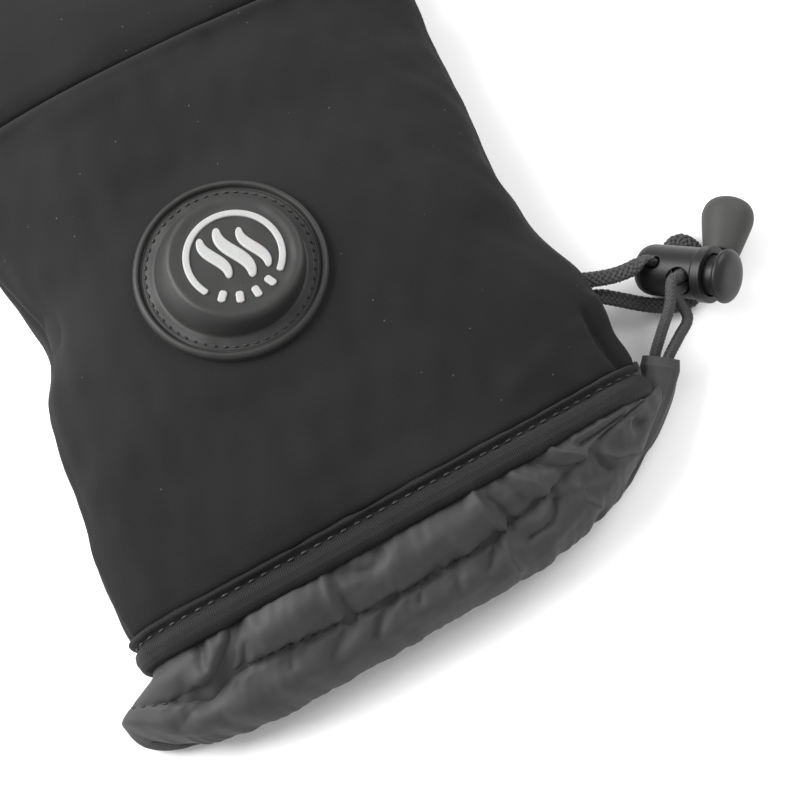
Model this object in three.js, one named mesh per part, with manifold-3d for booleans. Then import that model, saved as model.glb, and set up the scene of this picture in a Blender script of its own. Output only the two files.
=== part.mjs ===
// A heated winter glove for the right hand, lying palm down.
// Millimetres. +Y points to the fingertips, -X is the thumb side and +Z is up.
// The sleeves are hollow padded cloth, flat underneath where they lie on the table.

import * as THREE from "three";
import { mergeVertices } from "three/addons/utils/BufferGeometryUtils.js";
import Module from "manifold-3d";

const wasm = await Module();
wasm.setup();

// Driving sizes of the cuff and the hand
const gauntletLength = 125;
const cuffWidth = 130;
const cuffHeight = 38;
const shellWall = 3;
const handLength = 55;
const handHeight = 30;
const fingerGap = 1.2;
const fingerLength = 86;
const fingerHeight = 21;
const thumbLength = 84;
const thumbWidth = 34;
const thumbHeight = 24;
const thumbSpread = 40;
const pieceGap = 0.3;

// Driving sizes of the hem, the nylon storm cuff and its cord channel
const hemWidth = 8;
const hemWall = 3.6;
const hemY = -74;
const hemBow = 3;
const skirtReach = 16.5;
const skirtWall = 1.2;
const channelWall = 2.4;
const gatherDepth = 1.5;
const gatherCount = 23;
const cornerPull = 7;
const thumbSideBulge = 16;
const cordSideBulge = 3;

// Driving sizes of the heat button
const buttonX = -11.5;
const buttonY = -12.9;
const flangeRadius = 22;
const flangeThick = 1.6;
const flangeRim = 2;
const domeFoot = 16.2;
const domeFace = 13.6;
const domeHeight = 4.8;
const domeShiftX = 1.2;
const domeShiftY = -0.7;
const iconHeight = 0.4;
const iconRadius = 11.4;
const iconStroke = 1.7;
const iconTurn = -8;
const ringStart = -42;
const ringEnd = 213;
const waveWidth = 2.4;
const waveSwing = 1.1;
const markWidth = 2;
const markLength = 3.1;

// Driving sizes of the cord lock
const barrelRadius = 6.25;
const barrelLength = 19.8;
const collarRadius = 6.8;
const collarLength = 2.6;
const boreDepth = 11.2;
const shaftRadius = 4.8;
const slideClearance = 0.3;
const cordHoleRadius = 3.3;
const cordHoleFromMouth = 6;
const slotLength = 5.4;
const slotWidth = 3;
const slotFromTail = 5.4;
const capRadius = 6.5;
const capThick = 2.6;
const plungerTravel = 2.5;
const springWire = 0.5;
const springTurns = 3;
const lockTailX = 16;
const lockTailY = -47.4;
const lockTailZ = 4.8;
const lockHeading = -56;
const lockTilt = 34;
const cordHoleRoll = 56;
const slotRoll = 16;

// Driving sizes of the cords and what they carry
const drawcordDiameter = 2.8;
const strandPitch = 3.2;
const braidWidth = 4;
const braidThick = 2;
const bellLength = 15;
const bellMouthRadius = 4.3;
const bellRadius = 6.4;
const cordClearance = 0.35;
const bellReach = 12.6;
const bellPitch = 2;
const bellEndX = 47.4;
const bellEndY = -40;
const bellLift = 0.4;
const mouthBore = 3.4;
const mouthWall = 0.9;
const mouthLength = 5;

// Shape of a sleeve's cross-section
const restShare = 0.42;
const sinkShare = 1.25;
const sideRound = 0.8;
const crownRound = 0.85;
const soleRound = 0.7;
const sleeveSides = 34;
const skirtSides = 60;
const fingerSides = 16;

const degrees = THREE.MathUtils.degToRad;

// The cord lock and the cords keep their places from the cuff's +X edge
const edgeX = cuffWidth / 2;
const fromEdge = ([x, y, z]) => new THREE.Vector3(edgeX + x, y, z);

// Sections of the gauntlet from hem to wrist seam: lengths are shares of
// gauntletLength, cuffWidth and cuffHeight; bow is a share of hemBow.
const gauntletRows = [
  { along: 0, width: 1.005, centre: -0.03, height: 0.74, bow: 1 },
  { along: 0.1, width: 1.01, centre: -0.022, height: 0.83, bow: 0.7 },
  { along: 0.22, width: 0.987, centre: -0.018, height: 0.92, bow: 0.3 },
  { along: 0.36, width: 0.949, centre: -0.022, height: 0.98, bow: 0 },
  { along: 0.5, width: 0.922, centre: -0.004, height: 1, bow: 0 },
  { along: 0.62, width: 0.903, centre: 0.021, height: 0.98, bow: 0 },
  { along: 0.75, width: 0.933, centre: 0.026, height: 0.95, bow: 0 },
  { along: 0.88, width: 0.971, centre: 0.028, height: 0.92, bow: 0 },
  { along: 1, width: 1.019, centre: 0.018, height: 0.9, bow: 0 },
];

// Soft dents: where they lie along the gauntlet and round it, and their depth
// as a share of shellWall.
const dentRows = [
  { along: 0.62, around: 166, depth: 1.1, length: 0.09, spread: 20 },
  { along: 0.06, around: 22, depth: 0.9, length: 0.05, spread: 12 },
  { along: 0.72, around: 78, depth: 0.5, length: 0.1, spread: 26 },
];

// Sections of the hand between the seam and the finger roots
const handRows = [
  { along: 0, width: 1.019, centre: 0.018, height: 1.14 },
  { along: 0.3, width: 1.006, centre: 0.029, height: 1.1 },
  { along: 0.62, width: 0.96, centre: 0.044, height: 1 },
  { along: 0.86, width: 0.915, centre: 0.055, height: 0.84 },
  { along: 1, width: 0.885, centre: 0.058, height: 0.66 },
];

// Fingers across the hand from the thumb side: width and length are shares of
// cuffWidth and fingerLength, and the splay is in degrees
const fingers = [
  { name: "index_finger", width: 0.2154, length: 0.884, splay: 3 },
  { name: "middle_finger", width: 0.2192, length: 1, splay: 1 },
  { name: "ring_finger", width: 0.2115, length: 0.919, splay: -1.5 },
  { name: "little_finger", width: 0.1923, length: 0.709, splay: -5 },
];

// Sections of one finger or the thumb as shares of its length, width, height
const fingerRows = [
  { along: 0, width: 1, height: 1 },
  { along: 0.3, width: 0.97, height: 0.96 },
  { along: 0.55, width: 0.99, height: 0.97 },
  { along: 0.8, width: 0.9, height: 0.9 },
  { along: 0.93, width: 0.7, height: 0.74 },
  { along: 0.985, width: 0.36, height: 0.5 },
];

// Sections of the hem binding: along is a share of hemWidth and swell of
// hemWall, with the welt, the stitched valley and the lower roll.
const hemRows = [
  { along: 0, swell: 0.02 },
  { along: 0.12, swell: 0.16 },
  { along: 0.32, swell: -0.08 },
  { along: 0.62, swell: 0.26 },
  { along: 1, swell: -0.06 },
];

// Sections of the storm cuff: out is a share of skirtReach, width and height
// of the cuff's, shift of its width towards +X, gather of gatherDepth, and channel
// is 1 inside the cord channel.
const skirtRows = [
  { out: 0, width: 0.98, height: 0.66, shift: 0, gather: 0.15, channel: 0 },
  { out: 0.25, width: 1.03, height: 0.64, shift: 0, gather: 0.9, channel: 0 },
  { out: 0.55, width: 1.085, height: 0.5, shift: -0.002, gather: 1, channel: 0.4 },
  { out: 0.82, width: 1.127, height: 0.46, shift: -0.002, gather: 0.6, channel: 1 },
  { out: 1, width: 1.137, height: 0.33, shift: -0.002, gather: 0.4, channel: 1 },
];

// Routes of the free cords, chosen by hand in millimetres, with X from the
// cuff's +X edge
const drawcordFrontRoute = [
  [3.6, -75.2, 7.8], [6.2, -72, 9.2], [10.8, -69.1, 11.3], [14.8, -66.4, 13.3],
];
const drawcordBackRoute = [
  [1.1, -73.2, 7.8], [3.6, -70.1, 9.2], [7.4, -66.5, 12.9], [11.6, -62.7, 16.8],
];
const anchorUpperRoute = [
  [-2.4, -45.4, 13.4], [0.8, -46.9, 13.5], [5.4, -48.4, 13.4], [9.8, -49, 13.4],
];
const anchorLowerRoute = [
  [24.8, -51.4, 2], [25, -47.6, 2.2], [26.6, -44.8, 2.3], [29.6, -45, 2.3], [31, -48.6, 2.2],
  [29.4, -53.8, 2.1], [25.8, -58.2, 2.1], [21, -59.4, 2.2], [15.6, -57.8, 3], [10.4, -55, 4.6],
  [5.4, -52.2, 7.2], [1.4, -50.4, 9.6], [-2.2, -49.6, 11],
];

const colours = {
  softshell: { color: 0x3d3d3f, roughness: 0.82, metalness: 0 },
  binding: { color: 0x37373a, roughness: 0.85, metalness: 0 },
  nylon: { color: 0x3b3b3e, roughness: 0.55, metalness: 0 },
  silicone: { color: 0x3f3f40, roughness: 0.6, metalness: 0 },
  inlay: { color: 0xd8d8d8, roughness: 0.6, metalness: 0 },
  plastic: { color: 0x47474a, roughness: 0.45, metalness: 0 },
  steel: { color: 0xc4c4c8, roughness: 0.25, metalness: 1 },
  rubber: { color: 0x55554f, roughness: 0.7, metalness: 0 },
  cord: { color: 0x333335, roughness: 0.8, metalness: 0 },
};

function named(name, geometry, finish) {
  geometry.computeVertexNormals();
  const mesh = new THREE.Mesh(geometry, new THREE.MeshStandardMaterial(finish));
  mesh.name = name;
  return mesh;
}

// Closed surfaces from rings of points

function geometryFrom(points, triangles) {
  let volume = 0;
  for (const [i, j, k] of triangles) {
    volume += new THREE.Vector3().crossVectors(points[j], points[k]).dot(points[i]);
  }
  const order = volume > 0 ? ([i, j, k]) => [i, j, k] : ([i, j, k]) => [i, k, j];
  const geometry = new THREE.BufferGeometry();
  const flat = points.flatMap((p) => [p.x, p.y, p.z]);
  geometry.setAttribute("position", new THREE.Float32BufferAttribute(flat, 3));
  geometry.setIndex(triangles.flatMap(order));
  return geometry;
}

function bandTriangles(first, second, count) {
  const triangles = [];
  for (let i = 0; i < count; i += 1) {
    const j = (i + 1) % count;
    triangles.push([first + i, second + i, second + j], [first + i, second + j, first + j]);
  }
  return triangles;
}

// A wall between two stacks of rings. The stacks are joined at their first ring,
// and either joined at their last ring or closed by a tip on each.
function wallGeometry(outer, inner, tips = null) {
  const count = outer[0].length;
  const rings = [...outer].reverse().concat(inner);
  const points = rings.flat();
  const triangles = [];
  for (let r = 0; r + 1 < rings.length; r += 1) {
    triangles.push(...bandTriangles(r * count, (r + 1) * count, count));
  }
  const last = (rings.length - 1) * count;
  if (tips === null) {
    triangles.push(...bandTriangles(last, 0, count));
    return geometryFrom(points, triangles);
  }
  points.push(...tips);
  for (let i = 0; i < count; i += 1) {
    const j = (i + 1) % count;
    triangles.push([points.length - 2, i, j], [last + i, points.length - 1, last + j]);
  }
  return geometryFrom(points, triangles);
}

// A solid through a stack of rings, with a flat or pointed cap at each end
function solidGeometry(rings, startTip, endTip) {
  const count = rings[0].length;
  const points = [...rings.flat(), startTip, endTip];
  const triangles = [];
  for (let r = 0; r + 1 < rings.length; r += 1) {
    triangles.push(...bandTriangles(r * count, (r + 1) * count, count));
  }
  const last = (rings.length - 1) * count;
  for (let i = 0; i < count; i += 1) {
    const j = (i + 1) % count;
    triangles.push([points.length - 2, i, j], [last + i, points.length - 1, last + j]);
  }
  return geometryFrom(points, triangles);
}

function solidFrom(geometry) {
  const bare = geometry.clone();
  bare.deleteAttribute("normal");
  bare.deleteAttribute("uv");
  const merged = mergeVertices(bare.index ? bare.toNonIndexed() : bare, 1e-5);
  const mesh = new wasm.Mesh({
    numProp: 3,
    vertProperties: new Float32Array(merged.attributes.position.array),
    triVerts: new Uint32Array(merged.index.array),
  });
  return new wasm.Manifold(mesh);
}

function geometryOf(solid) {
  const mesh = solid.getMesh();
  const geometry = new THREE.BufferGeometry();
  geometry.setAttribute("position", new THREE.Float32BufferAttribute(mesh.vertProperties, 3));
  geometry.setIndex(new THREE.Uint32BufferAttribute(mesh.triVerts, 1));
  return geometry;
}

function movedSolid(geometry, matrix) {
  return solidFrom(geometry.clone().applyMatrix4(matrix));
}

function boxBetween(low, high) {
  const size = new THREE.Vector3().subVectors(high, low);
  const centre = new THREE.Vector3().addVectors(high, low).multiplyScalar(0.5);
  const box = new THREE.BoxGeometry(size.x, size.y, size.z);
  return box.applyMatrix4(new THREE.Matrix4().setPosition(centre));
}

// One point of a flattened sleeve's section, seen along its length. Angle 0 is
// the +X edge and a quarter turn is the crown. The sole is flat at inset.
function sleevePoint(section, angle, inset) {
  const cosine = Math.cos(angle);
  const sine = Math.sin(angle);
  const middle = section.height * restShare;
  const halfWidth = section.width / 2 - inset;
  const side = Math.sign(cosine) * Math.abs(cosine) ** sideRound;
  const crown = (section.height - middle - inset) * Math.abs(sine) ** crownRound;
  const sole = (middle * sinkShare - inset) * Math.abs(sine) ** soleRound;
  const z = Math.max(middle + (sine > 0 ? crown : -sole), inset);
  return new THREE.Vector3(section.centre + halfWidth * side, 0, z);
}

function sleeveRing(section, sides, inset, place) {
  return Array.from({ length: sides }, (_, i) => {
    const angle = (i / sides) * 2 * Math.PI;
    return place(sleevePoint(section, angle, inset), angle);
  });
}

function dentDepth(along, angle) {
  let depth = 0;
  for (const dent of dentRows) {
    const near = (along - dent.along) / dent.length;
    const round = (angle - degrees(dent.around)) / degrees(dent.spread);
    depth += dent.depth * shellWall * Math.exp(-near * near - round * round);
  }
  return depth;
}

// Gauntlet, hem binding and storm cuff

const seamY = hemY + gauntletLength;

function cuffSection(row) {
  return {
    width: row.width * cuffWidth,
    centre: row.centre * cuffWidth,
    height: row.height * cuffHeight,
  };
}

function bowAt(point, section, bow) {
  const share = Math.min(Math.abs(point.x - section.centre) / (section.width / 2), 1);
  return bow * hemBow * share ** 3;
}

function gauntletRing(row, inset) {
  const section = cuffSection(row);
  return sleeveRing(section, sleeveSides, inset, (point, angle) => {
    const depth = dentDepth(row.along, angle);
    point.x -= depth * Math.cos(angle);
    point.y = hemY + row.along * gauntletLength + bowAt(point, section, row.bow);
    point.z = Math.max(point.z - depth * Math.max(Math.sin(angle), 0), inset);
    return point;
  });
}

function makeGauntlet() {
  const outer = gauntletRows.map((row) => gauntletRing(row, 0));
  const inner = gauntletRows.map((row) => gauntletRing(row, shellWall));
  return named("gauntlet_shell", wallGeometry(outer, inner), colours.softshell);
}

// Height of the gauntlet's crown over a point, straight between its sections
function gauntletTop(x, y) {
  const along = (y - hemY) / gauntletLength;
  const next = Math.max(gauntletRows.findIndex((row) => row.along > along), 1);
  const [before, after] = [gauntletRows[next - 1], gauntletRows[next]];
  const share = (along - before.along) / (after.along - before.along);
  const [a, b] = [cuffSection(before), cuffSection(after)];
  const width = THREE.MathUtils.lerp(a.width, b.width, share) / 2;
  const centre = THREE.MathUtils.lerp(a.centre, b.centre, share);
  const height = THREE.MathUtils.lerp(a.height, b.height, share);
  const side = Math.min(Math.abs(x - centre) / width, 1);
  const cosine = side ** (1 / sideRound);
  const crown = (1 - cosine * cosine) ** (crownRound / 2);
  return height * (restShare + (1 - restShare) * crown);
}

const hemSection = cuffSection(gauntletRows[0]);
const hemEndY = hemY - pieceGap - hemWidth;

function hemRing(row, wall) {
  const swell = row.swell * hemWall;
  const section = {
    width: hemSection.width + 2 * swell,
    centre: hemSection.centre,
    height: hemSection.height + swell,
  };
  return sleeveRing(section, sleeveSides, wall + (wall > 0 ? swell : 0), (point) => {
    point.y = hemY - pieceGap - row.along * hemWidth + bowAt(point, section, 1);
    return point;
  });
}

function makeHemBinding() {
  const outer = hemRows.map((row) => hemRing(row, 0));
  const inner = hemRows.map((row) => hemRing(row, hemWall));
  return named("hem_binding", wallGeometry(outer, inner), colours.binding);
}

// Irregular gathers: two waves of unlike pitch drawn in by the cord
function gatherAt(angle, out) {
  const wave = Math.sin(gatherCount * angle + 2.2 * out);
  const drift = Math.sin((gatherCount - 9) * angle - 1.4 * out + 0.8);
  return 0.65 * wave + 0.35 * drift;
}

function skirtRing(row, inset) {
  const section = cuffSection({ ...row, centre: gauntletRows[0].centre + row.shift });
  return sleeveRing(section, skirtSides, inset, (point, angle) => {
    const ripple = gatherDepth * row.gather * gatherAt(angle, row.out);
    const side = (point.x - section.centre) / (section.width / 2);
    const bulge = side < 0 ? thumbSideBulge : cordSideBulge;
    const crescent = 1 - Math.min(Math.abs(side), 1) ** bulge;
    const pull = cornerPull * row.out * Math.max(side, 0) ** 6;
    point.x += ripple * Math.cos(angle);
    point.y = hemEndY - pieceGap - row.out * skirtReach * crescent + pull;
    point.y += bowAt(point, section, 1);
    point.z = Math.max(point.z + ripple * Math.sin(angle), inset);
    return point;
  });
}

const mouthSides = 16;

// The sleeve at the end of the cord channel, round the middle of both strands
function mouthFrame() {
  const middleOf = (index) => fromEdge(drawcordFrontRoute[index])
    .add(fromEdge(drawcordBackRoute[index])).multiplyScalar(0.5);
  const start = middleOf(0);
  const axis = middleOf(1).sub(start).normalize();
  const turn = new THREE.Quaternion().setFromUnitVectors(new THREE.Vector3(0, 0, 1), axis);
  return new THREE.Matrix4().makeRotationFromQuaternion(turn).setPosition(start);
}

function makeStormCuff() {
  const wall = (row) => THREE.MathUtils.lerp(skirtWall, channelWall, row.channel);
  const outer = skirtRows.map((row) => skirtRing(row, 0));
  const inner = skirtRows.map((row) => skirtRing(row, wall(row)));
  const frame = mouthFrame();
  const sleeve = movedSolid(lathe([
    [0, 0], [mouthBore + mouthWall * 1.3, 0], [mouthBore + mouthWall, mouthLength], [0, mouthLength],
  ], mouthSides), frame);
  const bore = movedSolid(lathe([
    [0, -mouthLength], [mouthBore, -mouthLength], [mouthBore, 2 * mouthLength], [0, 2 * mouthLength],
  ], mouthSides), frame);
  const cuff = solidFrom(wallGeometry(outer, inner)).add(sleeve).subtract(bore);
  return named("storm_cuff", geometryOf(cuff), colours.nylon);
}

// Hand, fingers and thumb: hollow, cut apart at the roots

const handY = seamY + pieceGap;
const rootY = handY + handLength;

function handRing(row, inset, y) {
  const section = { ...cuffSection(row), height: row.height * handHeight };
  return sleeveRing(section, sleeveSides, inset, (point) => {
    point.y = y;
    return point;
  });
}

function handSolid(inset) {
  const rings = handRows.map((row, index) => {
    const last = index === handRows.length - 1;
    const early = index === 0 && inset > 0 ? shellWall : 0;
    const y = handY + row.along * handLength - early - (last ? inset : 0);
    return handRing(row, inset, y);
  });
  const middle = (ring) => {
    const sum = ring.reduce((total, point) => total.add(point), new THREE.Vector3());
    return sum.multiplyScalar(1 / ring.length);
  };
  return solidFrom(solidGeometry(rings, middle(rings[0]), middle(rings.at(-1))));
}

// A finger-shaped solid from its root, laid along heading degrees from +Y
function fingerSolid({ width, length, height, heading, root }, inset) {
  const turn = new THREE.Matrix4().makeRotationZ(degrees(heading));
  turn.setPosition(root);
  const rings = fingerRows.map((row) => {
    const section = { width: row.width * width, centre: 0, height: row.height * height };
    const y = row.along * (length - inset);
    return sleeveRing(section, fingerSides, inset, (point) => {
      return point.setY(y).applyMatrix4(turn);
    });
  });
  const tip = new THREE.Vector3(0, length - inset, height * restShare).applyMatrix4(turn);
  const heel = new THREE.Vector3(0, 0, height * restShare).applyMatrix4(turn);
  return solidFrom(solidGeometry(rings, heel, tip));
}

// The fingers start this deep inside the hand, so that their hollows meet its
const rootOverlap = 2.5 * shellWall;

const widthOf = (finger) => finger.width * cuffWidth;
const fingerSpan = fingers.reduce((sum, finger) => sum + widthOf(finger) + fingerGap, -fingerGap);
const fingersMiddle = cuffSection(handRows.at(-1)).centre;

function fingerPlaces() {
  let x = fingersMiddle - fingerSpan / 2;
  return fingers.map((finger) => {
    const centre = x + widthOf(finger) / 2;
    x += widthOf(finger) + fingerGap;
    return {
      name: finger.name,
      width: widthOf(finger),
      height: fingerHeight,
      heading: finger.splay,
      length: finger.length * fingerLength + rootOverlap,
      root: new THREE.Vector3(centre, rootY - rootOverlap, 0),
    };
  });
}

// The thumb starts inside the hand: its root is this deep from the hand's edge,
// and this share of handLength from the seam
const thumbInset = 0.2 * cuffWidth;
const thumbRootShare = 0.09;
const seamSection = cuffSection(handRows[0]);
const thumbRoot = new THREE.Vector3(
  seamSection.centre - seamSection.width / 2 + thumbInset, handY + thumbRootShare * handLength, 0,
);
const thumbPlace = {
  name: "thumb",
  width: thumbWidth,
  height: thumbHeight,
  heading: thumbSpread,
  length: thumbLength,
  root: thumbRoot,
};
// Where the thumb is cut from the hand: just past the hand's edge
const thumbCutPast = 0.17;
const thumbCutWidth = 1.06;
const thumbCutAt = thumbInset / Math.sin(degrees(thumbSpread)) + thumbCutPast * thumbWidth;

function thinSlab(centre, heading, width) {
  const half = new THREE.Vector3(width / 2, pieceGap / 2, handHeight * 2);
  const turn = new THREE.Matrix4().makeRotationZ(degrees(heading)).setPosition(centre);
  return movedSolid(boxBetween(half.clone().negate(), half), turn);
}

function makeHand() {
  const limbs = [...fingerPlaces(), thumbPlace];
  let outside = handSolid(0);
  let inside = handSolid(shellWall);
  for (const limb of limbs) {
    outside = outside.add(fingerSolid(limb, 0));
    inside = inside.add(fingerSolid(limb, shellWall));
  }
  const reach = 2 * cuffWidth;
  const beyondSeam = boxBetween(
    new THREE.Vector3(-reach, handY, -reach), new THREE.Vector3(reach, 2 * reach, reach),
  );
  const rootCut = new THREE.Vector3(fingersMiddle, rootY + pieceGap, 0);
  const thumbCut = new THREE.Vector3(0, thumbCutAt, 0)
    .applyAxisAngle(new THREE.Vector3(0, 0, 1), degrees(thumbSpread)).add(thumbRoot);
  const whole = outside.subtract(inside).intersect(solidFrom(beyondSeam))
    .subtract(thinSlab(rootCut, 0, fingerSpan + 4 * fingerGap))
    .subtract(thinSlab(thumbCut, thumbSpread, thumbWidth * thumbCutWidth));
  const byVolume = whole.decompose().sort((a, b) => b.volume() - a.volume());
  const middleX = (solid) => (solid.boundingBox().min[0] + solid.boundingBox().max[0]) / 2;
  const [palm, ...rest] = byVolume.slice(0, 1 + limbs.length);
  const acrossNames = ["thumb", ...fingers.map((finger) => finger.name)];
  const across = rest.sort((a, b) => middleX(a) - middleX(b));
  const meshes = [named("hand_shell", geometryOf(palm), colours.softshell)];
  across.forEach((solid, index) => {
    meshes.push(named(acrossNames[index], geometryOf(solid), colours.softshell));
  });
  return meshes;
}

// Heat button: a moulded cover that follows the cuff, with a flat pressed face

const faceZ = gauntletTop(buttonX, buttonY) + flangeThick + domeHeight;

function makeButtonCover() {
  const profile = [
    { radius: 0, height: 0, fit: 1 },
    { radius: flangeRadius * 0.3, height: 0, fit: 1 },
    { radius: flangeRadius * 0.6, height: 0, fit: 1 },
    { radius: flangeRadius, height: 0, fit: 1 },
    { radius: flangeRadius, height: flangeThick, fit: 1 },
    { radius: flangeRadius - flangeRim, height: flangeThick * 1.25, fit: 1 },
    { radius: flangeRadius - 1.5 * flangeRim, height: flangeThick * 0.7, fit: 1 },
    { radius: domeFoot + 1.4, height: flangeThick * 1.15, fit: 1 },
    { radius: domeFoot, height: flangeThick * 0.9, fit: 1 },
    { radius: domeFoot - 0.7, height: flangeThick + domeHeight * 0.55, fit: 0.4 },
    { radius: domeFace, height: flangeThick + domeHeight * 0.93, fit: 0 },
    { radius: domeFace - 1.2, height: flangeThick + domeHeight, fit: 0 },
    { radius: 0, height: flangeThick + domeHeight, fit: 0 },
  ];
  const sides = 30;
  const top = gauntletTop(buttonX, buttonY);
  const place = ({ radius, height, fit }, angle) => {
    const x = buttonX + radius * Math.cos(angle) + domeShiftX * (1 - fit);
    const y = buttonY + radius * Math.sin(angle) + domeShiftY * (1 - fit);
    const seat = THREE.MathUtils.lerp(top, gauntletTop(x, y), fit);
    return new THREE.Vector3(x, y, seat + height + (height === 0 ? pieceGap : 0));
  };
  const rings = profile.slice(1, -1).map((row) => {
    return Array.from({ length: sides }, (_, i) => place(row, (i / sides) * 2 * Math.PI));
  });
  const geometry = solidGeometry(rings, place(profile[0], 0), place(profile.at(-1), 0));
  return named("button_cover", geometry, colours.silicone);
}

// Icon: a ring that is open towards the hem, level marks in the opening and heat
// waves inside

function flatPiece(name, shape, curveSegments) {
  const options = { depth: iconHeight, bevelEnabled: false, curveSegments };
  const mesh = named(name, new THREE.ExtrudeGeometry(shape, options), colours.inlay);
  mesh.position.set(buttonX + domeShiftX, buttonY + domeShiftY, faceZ);
  mesh.rotation.z = degrees(iconTurn);
  return mesh;
}

function arcBand(outerRadius, stroke, from, to) {
  const shape = new THREE.Shape();
  shape.absarc(0, 0, outerRadius, degrees(from), degrees(to), false);
  shape.absarc(0, 0, outerRadius - stroke, degrees(to), degrees(from), true);
  return shape;
}

// A heat wave: a stroke of even width along an S, with round ends
function waveShape({ across, rise, length, lean }) {
  const bends = 8;
  const middle = (share) => new THREE.Vector2(
    across + lean * (share - 0.5) - waveSwing * Math.sin(2 * Math.PI * share),
    rise + length * (0.5 - share),
  );
  const side = (share) => {
    const step = new THREE.Vector2().subVectors(middle(share + 0.01), middle(share - 0.01));
    return new THREE.Vector2(-step.y, step.x).setLength(waveWidth / 2);
  };
  const shares = Array.from({ length: bends + 1 }, (_, i) => i / bends);
  const right = shares.map((share) => middle(share).add(side(share)));
  const left = shares.map((share) => middle(share).sub(side(share))).reverse();
  const tip = (share, sign) => {
    const out = side(share).rotateAround(new THREE.Vector2(), -sign * Math.PI / 2);
    return middle(share).add(out);
  };
  return new THREE.Shape([...right, tip(1, 1), ...left, tip(0, -1)]);
}

// Where each wave's middle lies in the icon, its height and how far its foot
// leans towards +X
const waveRows = [
  { name: "heat_wave_left", across: -4.4, rise: 1, length: 8, lean: 1.1 },
  { name: "heat_wave_middle", across: 0.3, rise: 0.7, length: 10, lean: 0.8 },
  { name: "heat_wave_right", across: 4.7, rise: 0.4, length: 8, lean: 1 },
];
const levelMarkAngles = [-127, -103.5, -81, -58.5];

function makeIcon() {
  const ring = flatPiece("icon_ring", arcBand(iconRadius, iconStroke, ringStart, ringEnd), 16);
  const waves = waveRows.map((row) => flatPiece(row.name, waveShape(row), 5));
  const marks = levelMarkAngles.map((angle, index) => {
    const half = THREE.MathUtils.radToDeg(markWidth / 2 / iconRadius);
    const band = arcBand(iconRadius + 0.2, markLength, angle - half, angle + half);
    return flatPiece(`level_mark_${index + 1}`, band, 2);
  });
  return [ring, ...waves, ...marks];
}

// Cord lock: a barrel with a slot for the anchor braid, a sprung plunger and
// a hole through both that nips the two drawcord strands

const heading = degrees(lockHeading);
const tilt = degrees(lockTilt);
const lockAxis = new THREE.Vector3(
  Math.cos(tilt) * Math.cos(heading), Math.cos(tilt) * Math.sin(heading), Math.sin(tilt),
);
const lockSide = new THREE.Vector3(-Math.sin(heading), Math.cos(heading), 0);
const lockUp = new THREE.Vector3().crossVectors(lockAxis, lockSide);
const lockTail = fromEdge([lockTailX, lockTailY, lockTailZ]);
const lockFrame = new THREE.Matrix4().makeBasis(lockSide, lockUp, lockAxis).setPosition(lockTail);

const slotAt = slotFromTail;
const cordHoleAt = barrelLength - cordHoleFromMouth;
const boreFloor = barrelLength - boreDepth;
const lockSides = 24;
const nipAt = cordHoleAt + 0.6;
const windowLength = drawcordDiameter + 2 * cordClearance + plungerTravel;
const windowStart = nipAt - drawcordDiameter / 2 - cordClearance;
const bridgeThick = 1.2;
const plungerEnd = windowStart - bridgeThick;
const capBack = barrelLength + plungerTravel + pieceGap;

function lathe(pairs, sides) {
  const points = pairs.map(([radius, z]) => new THREE.Vector2(radius, z));
  return new THREE.LatheGeometry(points, sides).rotateX(Math.PI / 2);
}

// Directions across the barrel, in the lock's own frame
function acrossAt(roll) {
  return new THREE.Vector3(-Math.sin(degrees(roll)), Math.cos(degrees(roll)), 0);
}

// Lays a geometry made along +Z across the barrel at a height and roll
function crosswise(geometry, roll, height) {
  const out = acrossAt(roll);
  const along = new THREE.Vector3(0, 0, 1);
  const across = new THREE.Vector3().crossVectors(along, out);
  const basis = new THREE.Matrix4().makeBasis(across, along, out).setPosition(0, 0, height);
  return movedSolid(geometry, basis);
}

// A bar with rounded corners that cuts an opening, long in Y
function openingBar(length, width, corner, depth) {
  const shape = new THREE.Shape();
  const x = width / 2 - corner;
  const y = length / 2 - corner;
  [[x, y], [-x, y], [-x, -y], [x, -y]].forEach(([cornerX, cornerY], quarter) => {
    const start = (quarter * Math.PI) / 2;
    shape.absarc(cornerX, cornerY, corner, start, start + Math.PI / 2, false);
  });
  const options = { depth, bevelEnabled: false, curveSegments: 3 };
  return new THREE.ExtrudeGeometry(shape, options).translate(0, 0, -depth / 2);
}

function inLockFrame(name, solid, finish) {
  return named(name, geometryOf(solid).applyMatrix4(lockFrame), finish);
}

function makeBarrel() {
  const body = lathe([
    [0, 0], [barrelRadius * 0.55, 0], [barrelRadius * 0.88, 1.1], [barrelRadius, 3],
    [barrelRadius, barrelLength - collarLength], [collarRadius, barrelLength - collarLength],
    [collarRadius, barrelLength], [0, barrelLength],
  ], lockSides);
  const bore = lathe([
    [0, boreFloor], [shaftRadius + slideClearance, boreFloor],
    [shaftRadius + slideClearance, barrelLength + 1], [0, barrelLength + 1],
  ], lockSides);
  const through = 4 * barrelRadius;
  const hole = new THREE.CylinderGeometry(cordHoleRadius, cordHoleRadius, through, 16)
    .rotateX(Math.PI / 2);
  const slot = openingBar(slotLength, slotWidth, slotWidth * 0.45, through);
  const barrel = solidFrom(body).subtract(solidFrom(bore))
    .subtract(crosswise(hole, cordHoleRoll, cordHoleAt))
    .subtract(crosswise(slot, slotRoll, slotAt));
  return inLockFrame("lock_barrel", barrel, colours.plastic);
}

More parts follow.
